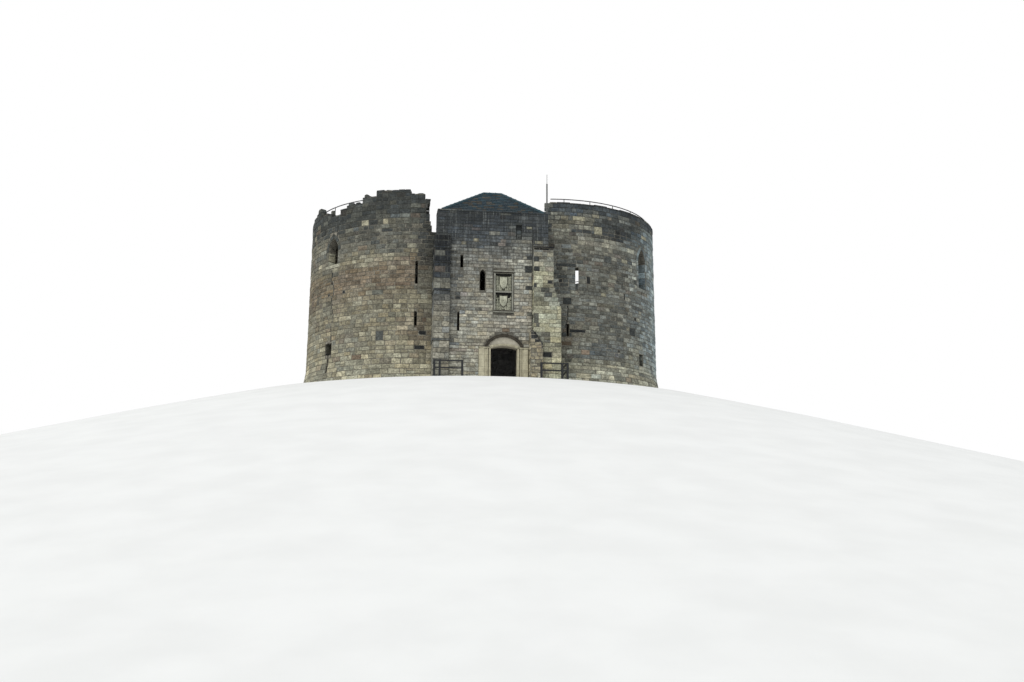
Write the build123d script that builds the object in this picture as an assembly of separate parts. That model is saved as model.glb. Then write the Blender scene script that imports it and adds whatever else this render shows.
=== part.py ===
"""Ruined stone keep on a quatrefoil plan: four round lobes about an open court, with a gatehouse.

Millimetres, +Z up, X to the right and Y away from the entrance side. The origin is the centre of
the court at the foot of the walls. The walls are true masonry masses with battered feet. Slits,
lancets, the doorway and the passage are cut right through them.
"""

import math
import os
from dataclasses import dataclass

from build123d import *

# Driving dimensions of the lobes
LOBE_OFFSET = 3750  # lobe centre from each axis of the keep
WALL_RADIUS = 6200  # outer face at wall walk level
WALL_LEAN = 60  # how much wider the face is at the top of the batter
WALL_THICKNESS = 2800
BATTER_HEIGHT = 1350
BATTER_SPREAD = 260
WALK_HEIGHT = 8900
PARAPET_HEIGHT = 1180
PARAPET_TOP = WALK_HEIGHT + PARAPET_HEIGHT
PARAPET_THICKNESS = 620
SPUR_FACE = 4600  # inner faces of the spurs between lobes, from the keep's axes
SPUR_LAP = 2.2  # degrees from the re-entrant angle back to where a lobe's wall ends and the spur begins
FLOOR_THICKNESS = 150

# Windows and loops in the lobes
WINDOW_WIDTH = 860
WINDOW_DROP = 630  # head of a pointed window below the wall walk
WINDOW_REVEAL = 480
WINDOW_SPLAY = 1900
SPLAY_SILL_DROP = 300
SPLAY_HEAD_RISE = 150
LOW_WINDOW_WIDTH = 420
LOW_WINDOW_SILL = 1600
LOW_WINDOW_HEIGHT = 650
LOOP_WIDTH = 140
LOOP_REVEAL = 600
LOOP_SPLAY = 1300
SKEWED_WIDTH = 170
SKEWED_SPLAY = 900
SKEWED_BEARING = 39.4
SKEWED_TURN = 16.4
SKEWED_SILL = 5230
BROKEN_WIDTH = 540

# Channel in the wall heads behind the skewed loop
CHANNEL_START = 2000  # from the far side of a lobe's wall radius
CHANNEL_LENGTH = 4700
CHANNEL_WIDTH = 500
CHANNEL_HEADING = 79.2  # degrees from +X
CHANNEL_SLOPE = 0.2436
CHANNEL_SPARE = 150

# Gatehouse block between the two front lobes
GATE_LEFT = -3200
GATE_RIGHT = 2600
GATE_PROJECTION = 1250  # how far its front stands out from the lobes
GATE_FRONT = -(LOBE_OFFSET + WALL_RADIUS + GATE_PROJECTION)
GATE_DEPTH = 5600
GATE_BACK = GATE_FRONT + GATE_DEPTH
PASSAGE_LENGTH = 2000
CHAMBER_BACK = GATE_BACK - PASSAGE_LENGTH
UPPER_THICKNESS = 900  # back wall above the wall walk
UPPER_BACK = CHAMBER_BACK + UPPER_THICKNESS
UPPER_SIDE_INSET = 260  # left flank behind the front wall, above the broken end of the lobe
FRONT_THICKNESS = 1100
SIDE_THICKNESS = 1050
EAVES_RISE = 150
EAVES_HEIGHT = WALK_HEIGHT + EAVES_RISE
CHAMBER_FLOOR_TOP = 4050
CHAMBER_FLOOR_THICKNESS = 300

# Doorway
DOOR_CENTRE = 310
DOOR_WIDTH = 1360
DOOR_SPRINGING = 1750
DOOR_RISE = 110
JAMB_LINING = 75
CASING_WIDTH = 620
CASING_PROUD = 110
CASING_DEPTH = 420
IMPOST_HEIGHT = 40
LINTEL_HEIGHT = 210
LUNETTE_WIDTH = 1770
LUNETTE_RISE = 560
LUNETTE_PROUD = 45
ARCHIVOLT_WIDTH = 100
HOOD_WIDTH = 145
HOOD_PROUD = 130

# Passage from the hall into the court, and the window over it
PASSAGE_CENTRE = -560
PASSAGE_WIDTH = 1200
PASSAGE_SPRINGING = 2000
PASSAGE_RISE = 560
COURT_WINDOW_CENTRE = 430
COURT_WINDOW_WIDTH = 700
COURT_WINDOW_SILL = 5200
COURT_WINDOW_HEIGHT = 2100

# Clasping pilaster on the left and pier on the right of the gatehouse
PILASTER_OVERHANG = 130
PILASTER_WIDTH = 810
PILASTER_LEFT = GATE_LEFT - PILASTER_OVERHANG
PILASTER_RIGHT = PILASTER_LEFT + PILASTER_WIDTH
PILASTER_PROUD = 180
PILASTER_TOP = 7600
SUPPORT_REACH = 2200  # how far the pilaster and the pier run back beside the gatehouse
PILASTER_BANDS = (2100, 4700, 6150, 6950)
BAND_HEIGHT = 90
BAND_PROUD = 45
PIER_WIDTH = 1030
PIER_OVERHANG = 220
PIER_FOOT_OVERHANG = 610
PIER_RIGHT = GATE_RIGHT + PIER_OVERHANG
PIER_LEFT = PIER_RIGHT - PIER_WIDTH
PIER_FOOT_RIGHT = GATE_RIGHT + PIER_FOOT_OVERHANG
PIER_PROUD = 350
PIER_TOP = 7050
PIER_CAP_PROUD = 60
PIER_CAP_HEIGHT = 220
PIER_FOOT_TOP = 3900
PIER_RAKE_TOP = 5050  # where the sloping head of the foot dies into the pier
STUB_OVERHANG = 200
STUB_WIDTH = 650
STUB_LEFT = PIER_LEFT - STUB_OVERHANG
STUB_RIGHT = STUB_LEFT + STUB_WIDTH
STUB_TOP = 2600
STUB_LOW_TOP = 1850
STUB_PROUD = 560

# Framed carved panels over the door
PANEL_CENTRE = 262
PANEL_WIDTH = 850
PANEL_HEIGHT = 970
PANEL_SILL = 3750
PANEL_RECESS = 150
PANEL_THICKNESS = 70
FRAME_WIDTH = 75
FRAME_PROUD = 80
SHIELD_PROUD = 45

# Lancet and slits in the gatehouse front. A slit is its centre, sill, head and width
LANCET_X = -825
LANCET_WIDTH = 290
LANCET_SILL = 4770
LANCET_HEIGHT = 1120
SLITS = [(-2055, 2620, 3600, 115), (-1915, 5950, 6610, 150)]
SLIT_REVEAL = 350
SLIT_SPLAY = 500
BLOCKED_X = 1050
BLOCKED_WIDTH = 310
BLOCKED_SILL = 7630
BLOCKED_HEIGHT = 720
BLOCKED_DEPTH = 120

# Hipped slate roof
ROOF_SIDE_INSET = 200
ROOF_LEFT_INSET = 250
ROOF_END_INSET = 100
ROOF_LEFT = GATE_LEFT + ROOF_LEFT_INSET
ROOF_RIGHT = GATE_RIGHT - ROOF_SIDE_INSET
ROOF_FRONT = GATE_FRONT + ROOF_END_INSET
ROOF_BACK = UPPER_BACK - ROOF_END_INSET
RIDGE_LENGTH = 950
RIDGE_OFFSET = 160  # middle of the ridge, to the right of the roof's own
ROOF_RISE = 1670
SLATE_THICKNESS = 140
RIDGE_TILE_RADIUS = 95

# Rails, rod and angle turrets
RAIL_INSET = 260
RAIL_RISE = 300
LOW_RAIL_RISE = 60  # over the ruined lobe
RAIL_RADIUS = 27
RAIL_POST_RADIUS = 20
RAIL_POST_STEP = 14
ROD_RADIUS = 38
ROD_PLATE = 110
ROD_INSET = 60
ROD_HEIGHT = 1650
ROD_TIP_RADIUS = 12
ROD_TIP_HEIGHT = 520
GUARD_HEIGHT = 900
GUARD_POST = 105
GUARD_BAR = 65
GUARD_REACH = 1100  # how far the guards stand out from the gatehouse
GUARD_LEFT_LENGTH = 1390
GUARD_RIGHT_LENGTH = 1330
GUARD_RIGHT_OVERHANG = 800
GUARD_INNER_POST = 270  # second post, from the corner one
TURRET_HALF_WIDTH = 850
TURRET_CHAMFER = 350
TURRET_REACH = 900
TURRET_CAP = 500
TURRET_DROP = 100  # top of the cap below the wall walk
TURRET_TOP = WALK_HEIGHT - TURRET_DROP - TURRET_CAP

TALL = 2 * (LOBE_OFFSET + WALL_RADIUS)  # longer than anything that is cut
INNER_RADIUS = WALL_RADIUS - WALL_THICKNESS
REENTRANT_BEARING = 45 + math.degrees(math.asin(LOBE_OFFSET / WALL_RADIUS))
SPUR_BEARING = REENTRANT_BEARING - SPUR_LAP
DIAGONALS = {"front_left": -135, "front_right": -45, "back_right": 45, "back_left": 135}


@dataclass
class Opening:
    """A light in a lobe's wall, with the splayed embrasure behind it."""

    bearing: float  # degrees from the lobe's outward diagonal
    width: float
    sill: float
    head: float
    pointed: bool
    reveal: float  # depth of the straight outer part
    inner_width: float
    inner_sill: float
    inner_head: float
    broken_width: float = 0  # width of a broken-out top half, if there is one
    turn: float = 0  # how far it is skewed from the wall's radius, in degrees


def lancet(bearing, height):
    """Pointed window under the wall walk."""
    head = WALK_HEIGHT - WINDOW_DROP
    sill = head - height
    return Opening(bearing, WINDOW_WIDTH, sill, head, True, WINDOW_REVEAL, WINDOW_SPLAY,
                   sill - SPLAY_SILL_DROP, head + SPLAY_HEAD_RISE)


def low_window(bearing):
    return Opening(bearing, LOW_WINDOW_WIDTH, LOW_WINDOW_SILL, LOW_WINDOW_SILL + LOW_WINDOW_HEIGHT, False,
                   LOOP_REVEAL, LOOP_SPLAY, LOW_WINDOW_SILL - SPLAY_SILL_DROP,
                   LOW_WINDOW_SILL + LOW_WINDOW_HEIGHT + SPLAY_HEAD_RISE)


def loop(bearing, sill, head, look_down=900, look_up=-150, broken_width=0):
    """Narrow loop whose embrasure opens further down, or up, on the inside."""
    return Opening(bearing, LOOP_WIDTH, sill, head, False, LOOP_REVEAL, LOOP_SPLAY, sill - look_down,
                   head + look_up, broken_width)


def skewed_loop(bearing, sill, head, turn):
    """Loop cut askew and upwards, so that the sky shows through it over the far wall."""
    return Opening(bearing, SKEWED_WIDTH, sill, head, False, LOOP_REVEAL, SKEWED_SPLAY, sill - 300, head + 800,
                   turn=turn)


OPENINGS = {
    "front_left": [
        lancet(-6.8, 1510),
        loop(-7.2, 830, 2430, look_down=300, broken_width=BROKEN_WIDTH),
        loop(41, 5300, 6550, look_up=-700),
        loop(41, 2950, 3820),
    ],
    "front_right": [
        lancet(4.4, 2270),
        low_window(1.2),
        skewed_loop(-SKEWED_BEARING, SKEWED_SILL, 6510, -SKEWED_TURN),
        loop(-44.2, 2750, 3420),
    ],
    "back_right": [
        lancet(-4.4, 2270),
        low_window(-1.2),
        skewed_loop(SKEWED_BEARING, SKEWED_SILL, 6510, SKEWED_TURN),
        loop(-50, 2900, 3900),
    ],
    "back_left": [
        lancet(6.8, 1510),
        low_window(7.2),
        loop(-41, 5300, 6550, look_up=-700),
        loop(50, 2900, 3900),
    ],
}

# Bearings between which a lobe's wall is built as one mass
WALL_SPANS = {
    "front_left": {"side": (-SPUR_BEARING, -36), "corner": (-36, 16), "gate_side": (16, 60)},
    "front_right": {"gate_side": (-62, -18), "corner": (-18, 32), "side": (32, SPUR_BEARING)},
    "back_right": {"side": (-SPUR_BEARING, -27), "corner": (-27, 27), "rear": (27, SPUR_BEARING)},
    "back_left": {"rear": (-SPUR_BEARING, -27), "corner": (-27, 27), "side": (27, SPUR_BEARING)},
}

# Parapet runs: bearing from, bearing to, height above the wall walk as a share of the whole one
PARAPET_RUNS = {
    "front_left": [
        (-90, -33, 0.8), (-33, -27.5, 0.92), (-27.5, -20.5, 1), (-20.5, -12.8, 0.72),
        (-12.8, -9.3, 0.66), (-9.3, -2.2, 0.48), (-2.2, 2.2, 0.7), (2.2, 12.1, 0.81),
        (12.1, 19.8, 1.06), (19.8, 37.3, 1.28), (37.3, 44.5, 1.1), (44.5, 47.2, 0.87),
    ],
    "front_right": [(-55.4, -54.4, 0.48), (-54.4, -53.2, 0.7), (-53.2, 90, 1)],
    "back_right": [(-90, 90, 1)],
    "back_left": [(-90, 90, 1)],
}
RAIL_SPANS = {
    "front_left": (-76, 12.1),
    "front_right": (-52.5, 76),
    "back_right": (-78, 78),
    "back_left": (-78, 78),
}
# Ragged end of the front left wall beside the gatehouse: foot of each step from the wall walk, and its gap
RAGGED_END = [(-750, 230), (-400, 290), (-170, 350), (210, 545), (600, 450), (800, 340)]


def block(x0, x1, y0, y1, z0, z1):
    return Pos((x0 + x1) / 2, (y0 + y1) / 2, (z0 + z1) / 2) * Box(x1 - x0, y1 - y0, z1 - z0)


def centre_of(lobe):
    turn = math.radians(DIAGONALS[lobe])
    return (math.copysign(LOBE_OFFSET, math.cos(turn)), math.copysign(LOBE_OFFSET, math.sin(turn)))


def at_lobe(lobe, bearing=0):
    """Frame at a lobe's centre whose X axis points out along the bearing."""
    return Pos(*centre_of(lobe), 0) * Rot(0, 0, DIAGONALS[lobe] + bearing)


def quadrant(lobe):
    x, y = centre_of(lobe)
    far = 2 * TALL
    return block(min(0, math.copysign(far, x)), max(0, math.copysign(far, x)),
                 min(0, math.copysign(far, y)), max(0, math.copysign(far, y)), -TALL, TALL)


def sector(lobe, outline, start, end):
    """Outline of (radius, height) points turned about a lobe's centre between two bearings."""
    face = Plane.XZ * make_face(Polyline(*outline, close=True))
    return at_lobe(lobe, start) * revolve(face, Axis.Z, end - start)


def wall_outline():
    return [
        (INNER_RADIUS, 0),
        (WALL_RADIUS + WALL_LEAN + BATTER_SPREAD, 0),
        (WALL_RADIUS + WALL_LEAN, BATTER_HEIGHT),
        (WALL_RADIUS, WALK_HEIGHT),
        (INNER_RADIUS, WALK_HEIGHT),
    ]


def pointed_outline(width, sill, head):
    """Upright arch outline: straight sides and two arcs struck from the opposite springing."""
    half = width / 2
    springing = head - width * math.sin(math.radians(60))
    shoulder = width * math.cos(math.radians(30)) - half
    return make_face([
        Line((-half, springing), (-half, sill)),
        Line((-half, sill), (half, sill)),
        Line((half, sill), (half, springing)),
        ThreePointArc((half, springing), (shoulder, springing + half), (0, head)),
        ThreePointArc((0, head), (-shoulder, springing + half), (-half, springing)),
    ])


def square_outline(width, sill, head):
    return Pos(0, (sill + head) / 2) * Rectangle(width, head - sill)


def segment_outline(width, springing, rise):
    """Flat-bottomed segment of a circle."""
    return make_face([
        Line((-width / 2, springing), (width / 2, springing)),
        ThreePointArc((width / 2, springing), (0, springing + rise), (-width / 2, springing)),
    ])


def through_x(outline, x0, x1):
    """Outline of (Y, Z) points extruded along X."""
    return extrude(Plane.YZ.offset(x0) * outline, x1 - x0)


def through_y(outline, x, y0, y1):
    """Outline of (X, Z) points about x, extruded along Y."""
    return Pos(x, y1, 0) * extrude(Plane.XZ * outline, y1 - y0)


def opening_cut(opening):
    """The void of an opening, in a frame whose X axis points straight out of the wall."""
    beyond = WALL_RADIUS + WALL_LEAN + BATTER_SPREAD + 200
    throat = WALL_RADIUS - opening.reveal
    outline = pointed_outline if opening.pointed else square_outline
    void = through_x(outline(opening.width, opening.sill, opening.head), throat, beyond)
    if opening.broken_width:
        break_foot = opening.sill + 0.6 * (opening.head - opening.sill)
        void += through_x(square_outline(opening.broken_width, break_foot, opening.head), throat, beyond)
    mouth = INNER_RADIUS - 300
    throat_half = max(opening.width, opening.broken_width) / 2 + 60
    mouth_half = opening.inner_width / 2
    plan = make_face(Polyline((throat, -throat_half), (mouth, -mouth_half),
                              (mouth, mouth_half), (throat, throat_half), close=True))
    splay = extrude(Pos(0, 0, opening.inner_sill) * plan, opening.inner_head - opening.inner_sill)
    if opening.pointed:
        arch = pointed_outline(opening.inner_width, opening.inner_sill, opening.inner_head)
        splay &= through_x(arch, mouth, throat)
    void += splay
    if opening.turn:
        face = Pos(WALL_RADIUS, 0, 0)
        void = face * Rot(0, 0, opening.turn) * face.inverse() * void
    return void


def court_void():
    return block(-SPUR_FACE, SPUR_FACE, -SPUR_FACE, SPUR_FACE, -TALL, TALL)


def gate_block(top=TALL):
    return block(GATE_LEFT, GATE_RIGHT, GATE_FRONT, GATE_BACK, -1, top)


def ragged_cut():
    """What is missing beside the gatehouse at the top of the front left wall."""
    missing = None
    tops = [foot for foot, _ in RAGGED_END[1:]] + [2 * PARAPET_HEIGHT]
    for (foot, gap), top in zip(RAGGED_END, tops):
        step = block(GATE_LEFT - gap, GATE_LEFT + 10, GATE_FRONT, GATE_BACK,
                     WALK_HEIGHT + foot, WALK_HEIGHT + top)
        missing = step if missing is None else missing + step
    return missing


def light_channel():
    """Open channel in the wall heads, in line with the skewed loop, that lets daylight show through it."""
    start = WALL_RADIUS + CHANNEL_START
    end = start + CHANNEL_LENGTH
    foot = SKEWED_SILL - CHANNEL_SPARE
    side = make_face(Polyline((start, foot + CHANNEL_SLOPE * start), (end, foot + CHANNEL_SLOPE * end),
                              (end, TALL), (start, TALL), close=True))
    mouth = (at_lobe("front_right", -SKEWED_BEARING) * Pos(WALL_RADIUS, 0, 0)).position
    run = through_y(side, 0, -CHANNEL_WIDTH / 2, CHANNEL_WIDTH / 2)
    return Pos(mouth.X, mouth.Y, 0) * Rot(0, 0, CHANNEL_HEADING) * run


def lobe_walls():
    walls = {}
    channel = light_channel()
    for lobe, spans in WALL_SPANS.items():
        for place, (start, end) in spans.items():
            wall = sector(lobe, wall_outline(), start, end) & quadrant(lobe)
            if lobe.startswith("front"):
                wall -= gate_block()
            for opening in OPENINGS[lobe]:
                if start < opening.bearing < end:
                    wall -= at_lobe(lobe, opening.bearing) * opening_cut(opening)
            if (lobe, place) == ("front_left", "gate_side"):
                wall -= ragged_cut()
            if (lobe, place) in (("front_right", "side"), ("back_right", "side")):
                wall -= channel
            walls[f"{lobe}_wall_{place}"] = wall
    return walls


def spur(first, second):
    """Masonry between two neighbouring lobes, up to its flat face on the court."""
    whole = None
    for lobe, turn in ((first, 1), (second, -1)):
        start, end = sorted((turn * SPUR_BEARING, turn * 125))
        half = sector(lobe, wall_outline(), start, end) & quadrant(lobe)
        whole = half if whole is None else whole + half
    return whole - court_void()


def spurs():
    return {
        "spur_left": spur("back_left", "front_left"),
        "spur_right": spur("front_right", "back_right") - light_channel(),
        "spur_back": spur("back_right", "back_left"),
    }


def parapets():
    made = {}
    face_out = WALL_RADIUS
    for lobe, runs in PARAPET_RUNS.items():
        whole = None
        for start, end, share in runs:
            top = WALK_HEIGHT + share * PARAPET_HEIGHT
            outline = [
                (face_out - PARAPET_THICKNESS, WALK_HEIGHT), (face_out, WALK_HEIGHT),
                (face_out, top), (face_out - PARAPET_THICKNESS, top),
            ]
            run = sector(lobe, outline, start, end)
            whole = run if whole is None else whole + run
        whole &= quadrant(lobe)
        if lobe == "front_left":
            whole -= ragged_cut()
        made[f"{lobe}_parapet"] = whole
    return made


def parapet_top_at(lobe, bearing):
    for start, end, share in PARAPET_RUNS[lobe]:
        if start <= bearing <= end:
            return WALK_HEIGHT + share * PARAPET_HEIGHT
    return WALK_HEIGHT


def walk_rails():
    """Bent tube on short posts along the top of each parapet."""
    rails = {}
    radius = WALL_RADIUS - RAIL_INSET
    for lobe, (start, end) in RAIL_SPANS.items():
        height = PARAPET_TOP + (LOW_RAIL_RISE if lobe == "front_left" else RAIL_RISE)
        tube = Plane.XZ * (Pos(radius, height) * RegularPolygon(RAIL_RADIUS, 8))
        rail = at_lobe(lobe, start) * revolve(tube, Axis.Z, end - start)
        posts = max(2, round((end - start) / RAIL_POST_STEP))
        for step in range(posts):
            bearing = start + (end - start) * (step + 0.5) / posts
            foot = max(parapet_top_at(lobe, bearing - 0.5), parapet_top_at(lobe, bearing + 0.5))
            post = Cylinder(RAIL_POST_RADIUS, height - foot, align=(Align.CENTER, Align.CENTER, Align.MIN))
            rail += at_lobe(lobe, bearing) * Pos(radius, 0, foot) * post
        rails[f"{lobe}_rail"] = rail
    return rails


def front_wall_cuts():
    """Voids in the gatehouse front: doorway, slits, lancet and panel recesses."""
    opening_half = DOOR_WIDTH / 2 + JAMB_LINING
    inside = GATE_FRONT + FRONT_THICKNESS + 10
    outside = GATE_FRONT - 10
    cuts = block(DOOR_CENTRE - opening_half, DOOR_CENTRE + opening_half, outside, inside,
                 -10, DOOR_SPRINGING + LINTEL_HEIGHT)
    for x, sill, head, width in SLITS:
        cuts += block(x - width / 2, x + width / 2, outside, inside, sill, head)
        throat = GATE_FRONT + SLIT_REVEAL
        splay = make_face(Polyline((x - width / 2, throat), (x + width / 2, throat),
                                   (x + SLIT_SPLAY, inside), (x - width, inside), close=True))
        cuts += extrude(Pos(0, 0, sill - SPLAY_HEAD_RISE) * splay, head - sill + SPLAY_HEAD_RISE)
    lancet_head = LANCET_SILL + LANCET_HEIGHT
    cuts += through_y(pointed_outline(LANCET_WIDTH, LANCET_SILL, lancet_head), LANCET_X, outside, inside)
    throat_half = LANCET_WIDTH / 2 + 40
    splay = make_face(Polyline((LANCET_X - throat_half, throat), (LANCET_X + throat_half, throat),
                               (LANCET_X + SLIT_SPLAY, inside), (LANCET_X - SLIT_SPLAY, inside),
                               close=True))
    cuts += extrude(Pos(0, 0, LANCET_SILL - SPLAY_HEAD_RISE) * splay, LANCET_HEIGHT + 2 * SPLAY_HEAD_RISE)
    panels_top = PANEL_SILL + 2 * PANEL_HEIGHT
    cuts += block(PANEL_CENTRE - PANEL_WIDTH / 2, PANEL_CENTRE + PANEL_WIDTH / 2, outside,
                  GATE_FRONT + PANEL_RECESS, PANEL_SILL, panels_top)
    cuts += block(BLOCKED_X - BLOCKED_WIDTH / 2, BLOCKED_X + BLOCKED_WIDTH / 2, outside,
                  GATE_FRONT + BLOCKED_DEPTH, BLOCKED_SILL, BLOCKED_SILL + BLOCKED_HEIGHT)
    return cuts


def gatehouse_walls():
    inner_front = GATE_FRONT + FRONT_THICKNESS
    front = block(GATE_LEFT, GATE_RIGHT, GATE_FRONT, inner_front, 0, EAVES_HEIGHT) - front_wall_cuts()
    opening_half = DOOR_WIDTH / 2 + JAMB_LINING
    left_edge = DOOR_CENTRE - opening_half
    right_edge = DOOR_CENTRE + opening_half
    walls = {
        "front_wall_left": front & block(-TALL, LANCET_X, -TALL, TALL, -TALL, TALL),
        "front_wall_by_door": front & block(LANCET_X, left_edge, -TALL, TALL, -TALL, TALL),
        "front_wall_over_door": front & block(left_edge, right_edge, -TALL, TALL, -TALL, TALL),
        "front_wall_right": front & block(right_edge, TALL, -TALL, TALL, -TALL, TALL),
        "gate_side_wall_left": block(GATE_LEFT, GATE_LEFT + SIDE_THICKNESS, inner_front,
                                     CHAMBER_BACK, 0, EAVES_HEIGHT),
        "gate_side_wall_right": block(GATE_RIGHT - SIDE_THICKNESS, GATE_RIGHT, inner_front,
                                      CHAMBER_BACK, 0, EAVES_HEIGHT),
    }
    back = block(GATE_LEFT, GATE_RIGHT, CHAMBER_BACK, GATE_BACK, 0, WALK_HEIGHT)
    back += block(GATE_LEFT, GATE_RIGHT, CHAMBER_BACK, UPPER_BACK, WALK_HEIGHT, EAVES_HEIGHT)
    for lobe in ("front_left", "front_right"):
        x, y = centre_of(lobe)
        back -= Pos(x, y, WALK_HEIGHT / 2) * Cylinder(INNER_RADIUS, WALK_HEIGHT)
    inset = block(GATE_LEFT - 10, GATE_LEFT + UPPER_SIDE_INSET, inner_front, GATE_BACK,
                  WALK_HEIGHT + RAGGED_END[0][0], TALL)
    walls["gate_side_wall_left"] -= inset
    back -= inset
    half = PASSAGE_WIDTH / 2
    arch = segment_outline(PASSAGE_WIDTH, PASSAGE_SPRINGING, PASSAGE_RISE)
    arch += Pos(0, (PASSAGE_SPRINGING - 10) / 2) * Rectangle(PASSAGE_WIDTH, PASSAGE_SPRINGING + 10)
    back -= through_y(arch, PASSAGE_CENTRE, CHAMBER_BACK - 10, GATE_BACK + 10)
    window = pointed_outline(COURT_WINDOW_WIDTH, COURT_WINDOW_SILL, COURT_WINDOW_SILL + COURT_WINDOW_HEIGHT)
    back -= through_y(window, COURT_WINDOW_CENTRE, CHAMBER_BACK - 10, GATE_BACK + 10)
    left, right = PASSAGE_CENTRE - half, PASSAGE_CENTRE + half
    walls["passage_wall_left"] = back & block(-TALL, left, -TALL, TALL, -TALL, TALL)
    walls["passage_wall_over_arch"] = back & block(left, right, -TALL, TALL, -TALL, TALL)
    walls["passage_wall_right"] = back & block(right, TALL, -TALL, TALL, -TALL, TALL)
    walls["chamber_floor"] = block(GATE_LEFT + SIDE_THICKNESS, GATE_RIGHT - SIDE_THICKNESS, inner_front,
                                   CHAMBER_BACK, CHAMBER_FLOOR_TOP - CHAMBER_FLOOR_THICKNESS,
                                   CHAMBER_FLOOR_TOP)
    return walls


def door_dressings():
    """Moulded jambs, flat arch with its lunette, and the hood mould over it."""
    half = DOOR_WIDTH / 2
    face = GATE_FRONT
    jamb_plan = make_face(Polyline(
        (half, face + CASING_DEPTH), (half, face - CASING_PROUD + 50), (half + 50, face - CASING_PROUD),
        (half + 190, face - CASING_PROUD), (half + 230, face - CASING_PROUD + 55),
        (half + 320, face - CASING_PROUD + 55), (half + 350, face - CASING_PROUD + 20),
        (half + CASING_WIDTH - 90, face - CASING_PROUD + 20), (half + CASING_WIDTH, face - 30),
        (half + CASING_WIDTH, face), (half + JAMB_LINING, face),
        (half + JAMB_LINING, face + CASING_DEPTH), close=True))
    right = extrude(jamb_plan, DOOR_SPRINGING)
    right += block(half + 10, half + CASING_WIDTH, face - CASING_PROUD - 30, face, 0, 260)
    left = mirror(right, Plane.YZ)
    jambs = Compound([Pos(DOOR_CENTRE, 0, 0) * right, Pos(DOOR_CENTRE, 0, 0) * left])

    lintel_top = DOOR_SPRINGING + LINTEL_HEIGHT
    impost_top = DOOR_SPRINGING + IMPOST_HEIGHT
    arch = block(-half - JAMB_LINING, half + JAMB_LINING, face, face + CASING_DEPTH,
                 DOOR_SPRINGING, lintel_top)
    arch += block(-half - CASING_WIDTH, half + CASING_WIDTH, face - CASING_PROUD + 15, face,
                  DOOR_SPRINGING, impost_top)
    arch += through_y(segment_outline(LUNETTE_WIDTH, impost_top, LUNETTE_RISE), 0,
                      face - LUNETTE_PROUD, face)
    archivolt = segment_outline(DOOR_WIDTH + 2 * ARCHIVOLT_WIDTH, DOOR_SPRINGING,
                                DOOR_RISE + ARCHIVOLT_WIDTH)
    arch += through_y(archivolt, 0, face - CASING_PROUD - 20, face)
    arch -= through_y(segment_outline(DOOR_WIDTH, DOOR_SPRINGING, DOOR_RISE), 0,
                      face - 2 * CASING_PROUD, face + CASING_DEPTH + 10)

    hood = segment_outline(LUNETTE_WIDTH + 2 * HOOD_WIDTH, impost_top, LUNETTE_RISE + HOOD_WIDTH)
    hood -= segment_outline(LUNETTE_WIDTH, impost_top, LUNETTE_RISE)
    hood = through_y(hood, 0, face - HOOD_PROUD, face)
    hood = chamfer(hood.edges().filter_by(GeomType.CIRCLE).sort_by(Axis.Y)[0], HOOD_WIDTH * 0.4)
    return {
        "door_jambs": jambs,
        "door_arch": Pos(DOOR_CENTRE, 0, 0) * arch,
        "hood_mould": Pos(DOOR_CENTRE, 0, 0) * hood,
    }


def shield_outline(width, height, centre_z):
    """Plain heater shield."""
    half = width / 2
    top = centre_z + height / 2
    waist = centre_z
    return make_face([
        Line((-half, waist), (-half, top)),
        Line((-half, top), (half, top)),
        Line((half, top), (half, waist)),
        ThreePointArc((half, waist), (half * 0.72, waist - height * 0.3), (0, centre_z - height / 2)),
        ThreePointArc((0, centre_z - height / 2), (-half * 0.72, waist - height * 0.3), (-half, waist)),
    ])


def carved_panels():
    panels = {}
    back = GATE_FRONT + PANEL_RECESS
    front = back - PANEL_THICKNESS
    outer_half = PANEL_WIDTH / 2 + FRAME_WIDTH
    top = PANEL_SILL + 2 * PANEL_HEIGHT
    middle = PANEL_SILL + PANEL_HEIGHT
    frame = block(-outer_half, outer_half, GATE_FRONT - FRAME_PROUD, GATE_FRONT,
                  PANEL_SILL - FRAME_WIDTH, top + FRAME_WIDTH)
    frame -= block(-PANEL_WIDTH / 2, PANEL_WIDTH / 2, GATE_FRONT - 2 * FRAME_PROUD, GATE_FRONT + 10,
                   PANEL_SILL, top)
    frame += block(-PANEL_WIDTH / 2, PANEL_WIDTH / 2, GATE_FRONT - FRAME_PROUD + 20, front,
                   middle - 35, middle + 35)
    frame += block(-outer_half - 40, outer_half + 40, GATE_FRONT - FRAME_PROUD - 60, GATE_FRONT,
                   top + FRAME_WIDTH, top + FRAME_WIDTH + 60)
    frame += block(-outer_half - 30, outer_half + 30, GATE_FRONT - FRAME_PROUD - 40, GATE_FRONT,
                   PANEL_SILL - FRAME_WIDTH - 50, PANEL_SILL - FRAME_WIDTH)
    panels["panel_frame"] = Pos(PANEL_CENTRE, 0, 0) * frame
    for name, sill, tall in (("lower_panel", PANEL_SILL, 0.62), ("upper_panel", middle, 0.7)):
        head = sill + PANEL_HEIGHT
        plate = block(-PANEL_WIDTH / 2, PANEL_WIDTH / 2, front, back, sill, head)
        centre_z = (sill + head) / 2
        shield = shield_outline(PANEL_WIDTH * 0.5, PANEL_HEIGHT * tall, centre_z)
        plate += through_y(shield, 0, front - SHIELD_PROUD, front)
        if name == "lower_panel":
            plate -= block(-PANEL_WIDTH, PANEL_WIDTH, GATE_FRONT - 500, back + 10, middle - 35, middle + 1)
        else:
            plate -= block(-PANEL_WIDTH, PANEL_WIDTH, GATE_FRONT - 500, back + 10, middle - 1, middle + 35)
        panels[name] = Pos(PANEL_CENTRE, 0, 0) * plate
    return panels


def clear_of_front_lobe(solid, lobe):
    """A solid cut back to the outer face of a front lobe and to the gatehouse block."""
    return solid - sector(lobe, wall_outline(), -95, 95) - gate_block()


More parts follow.
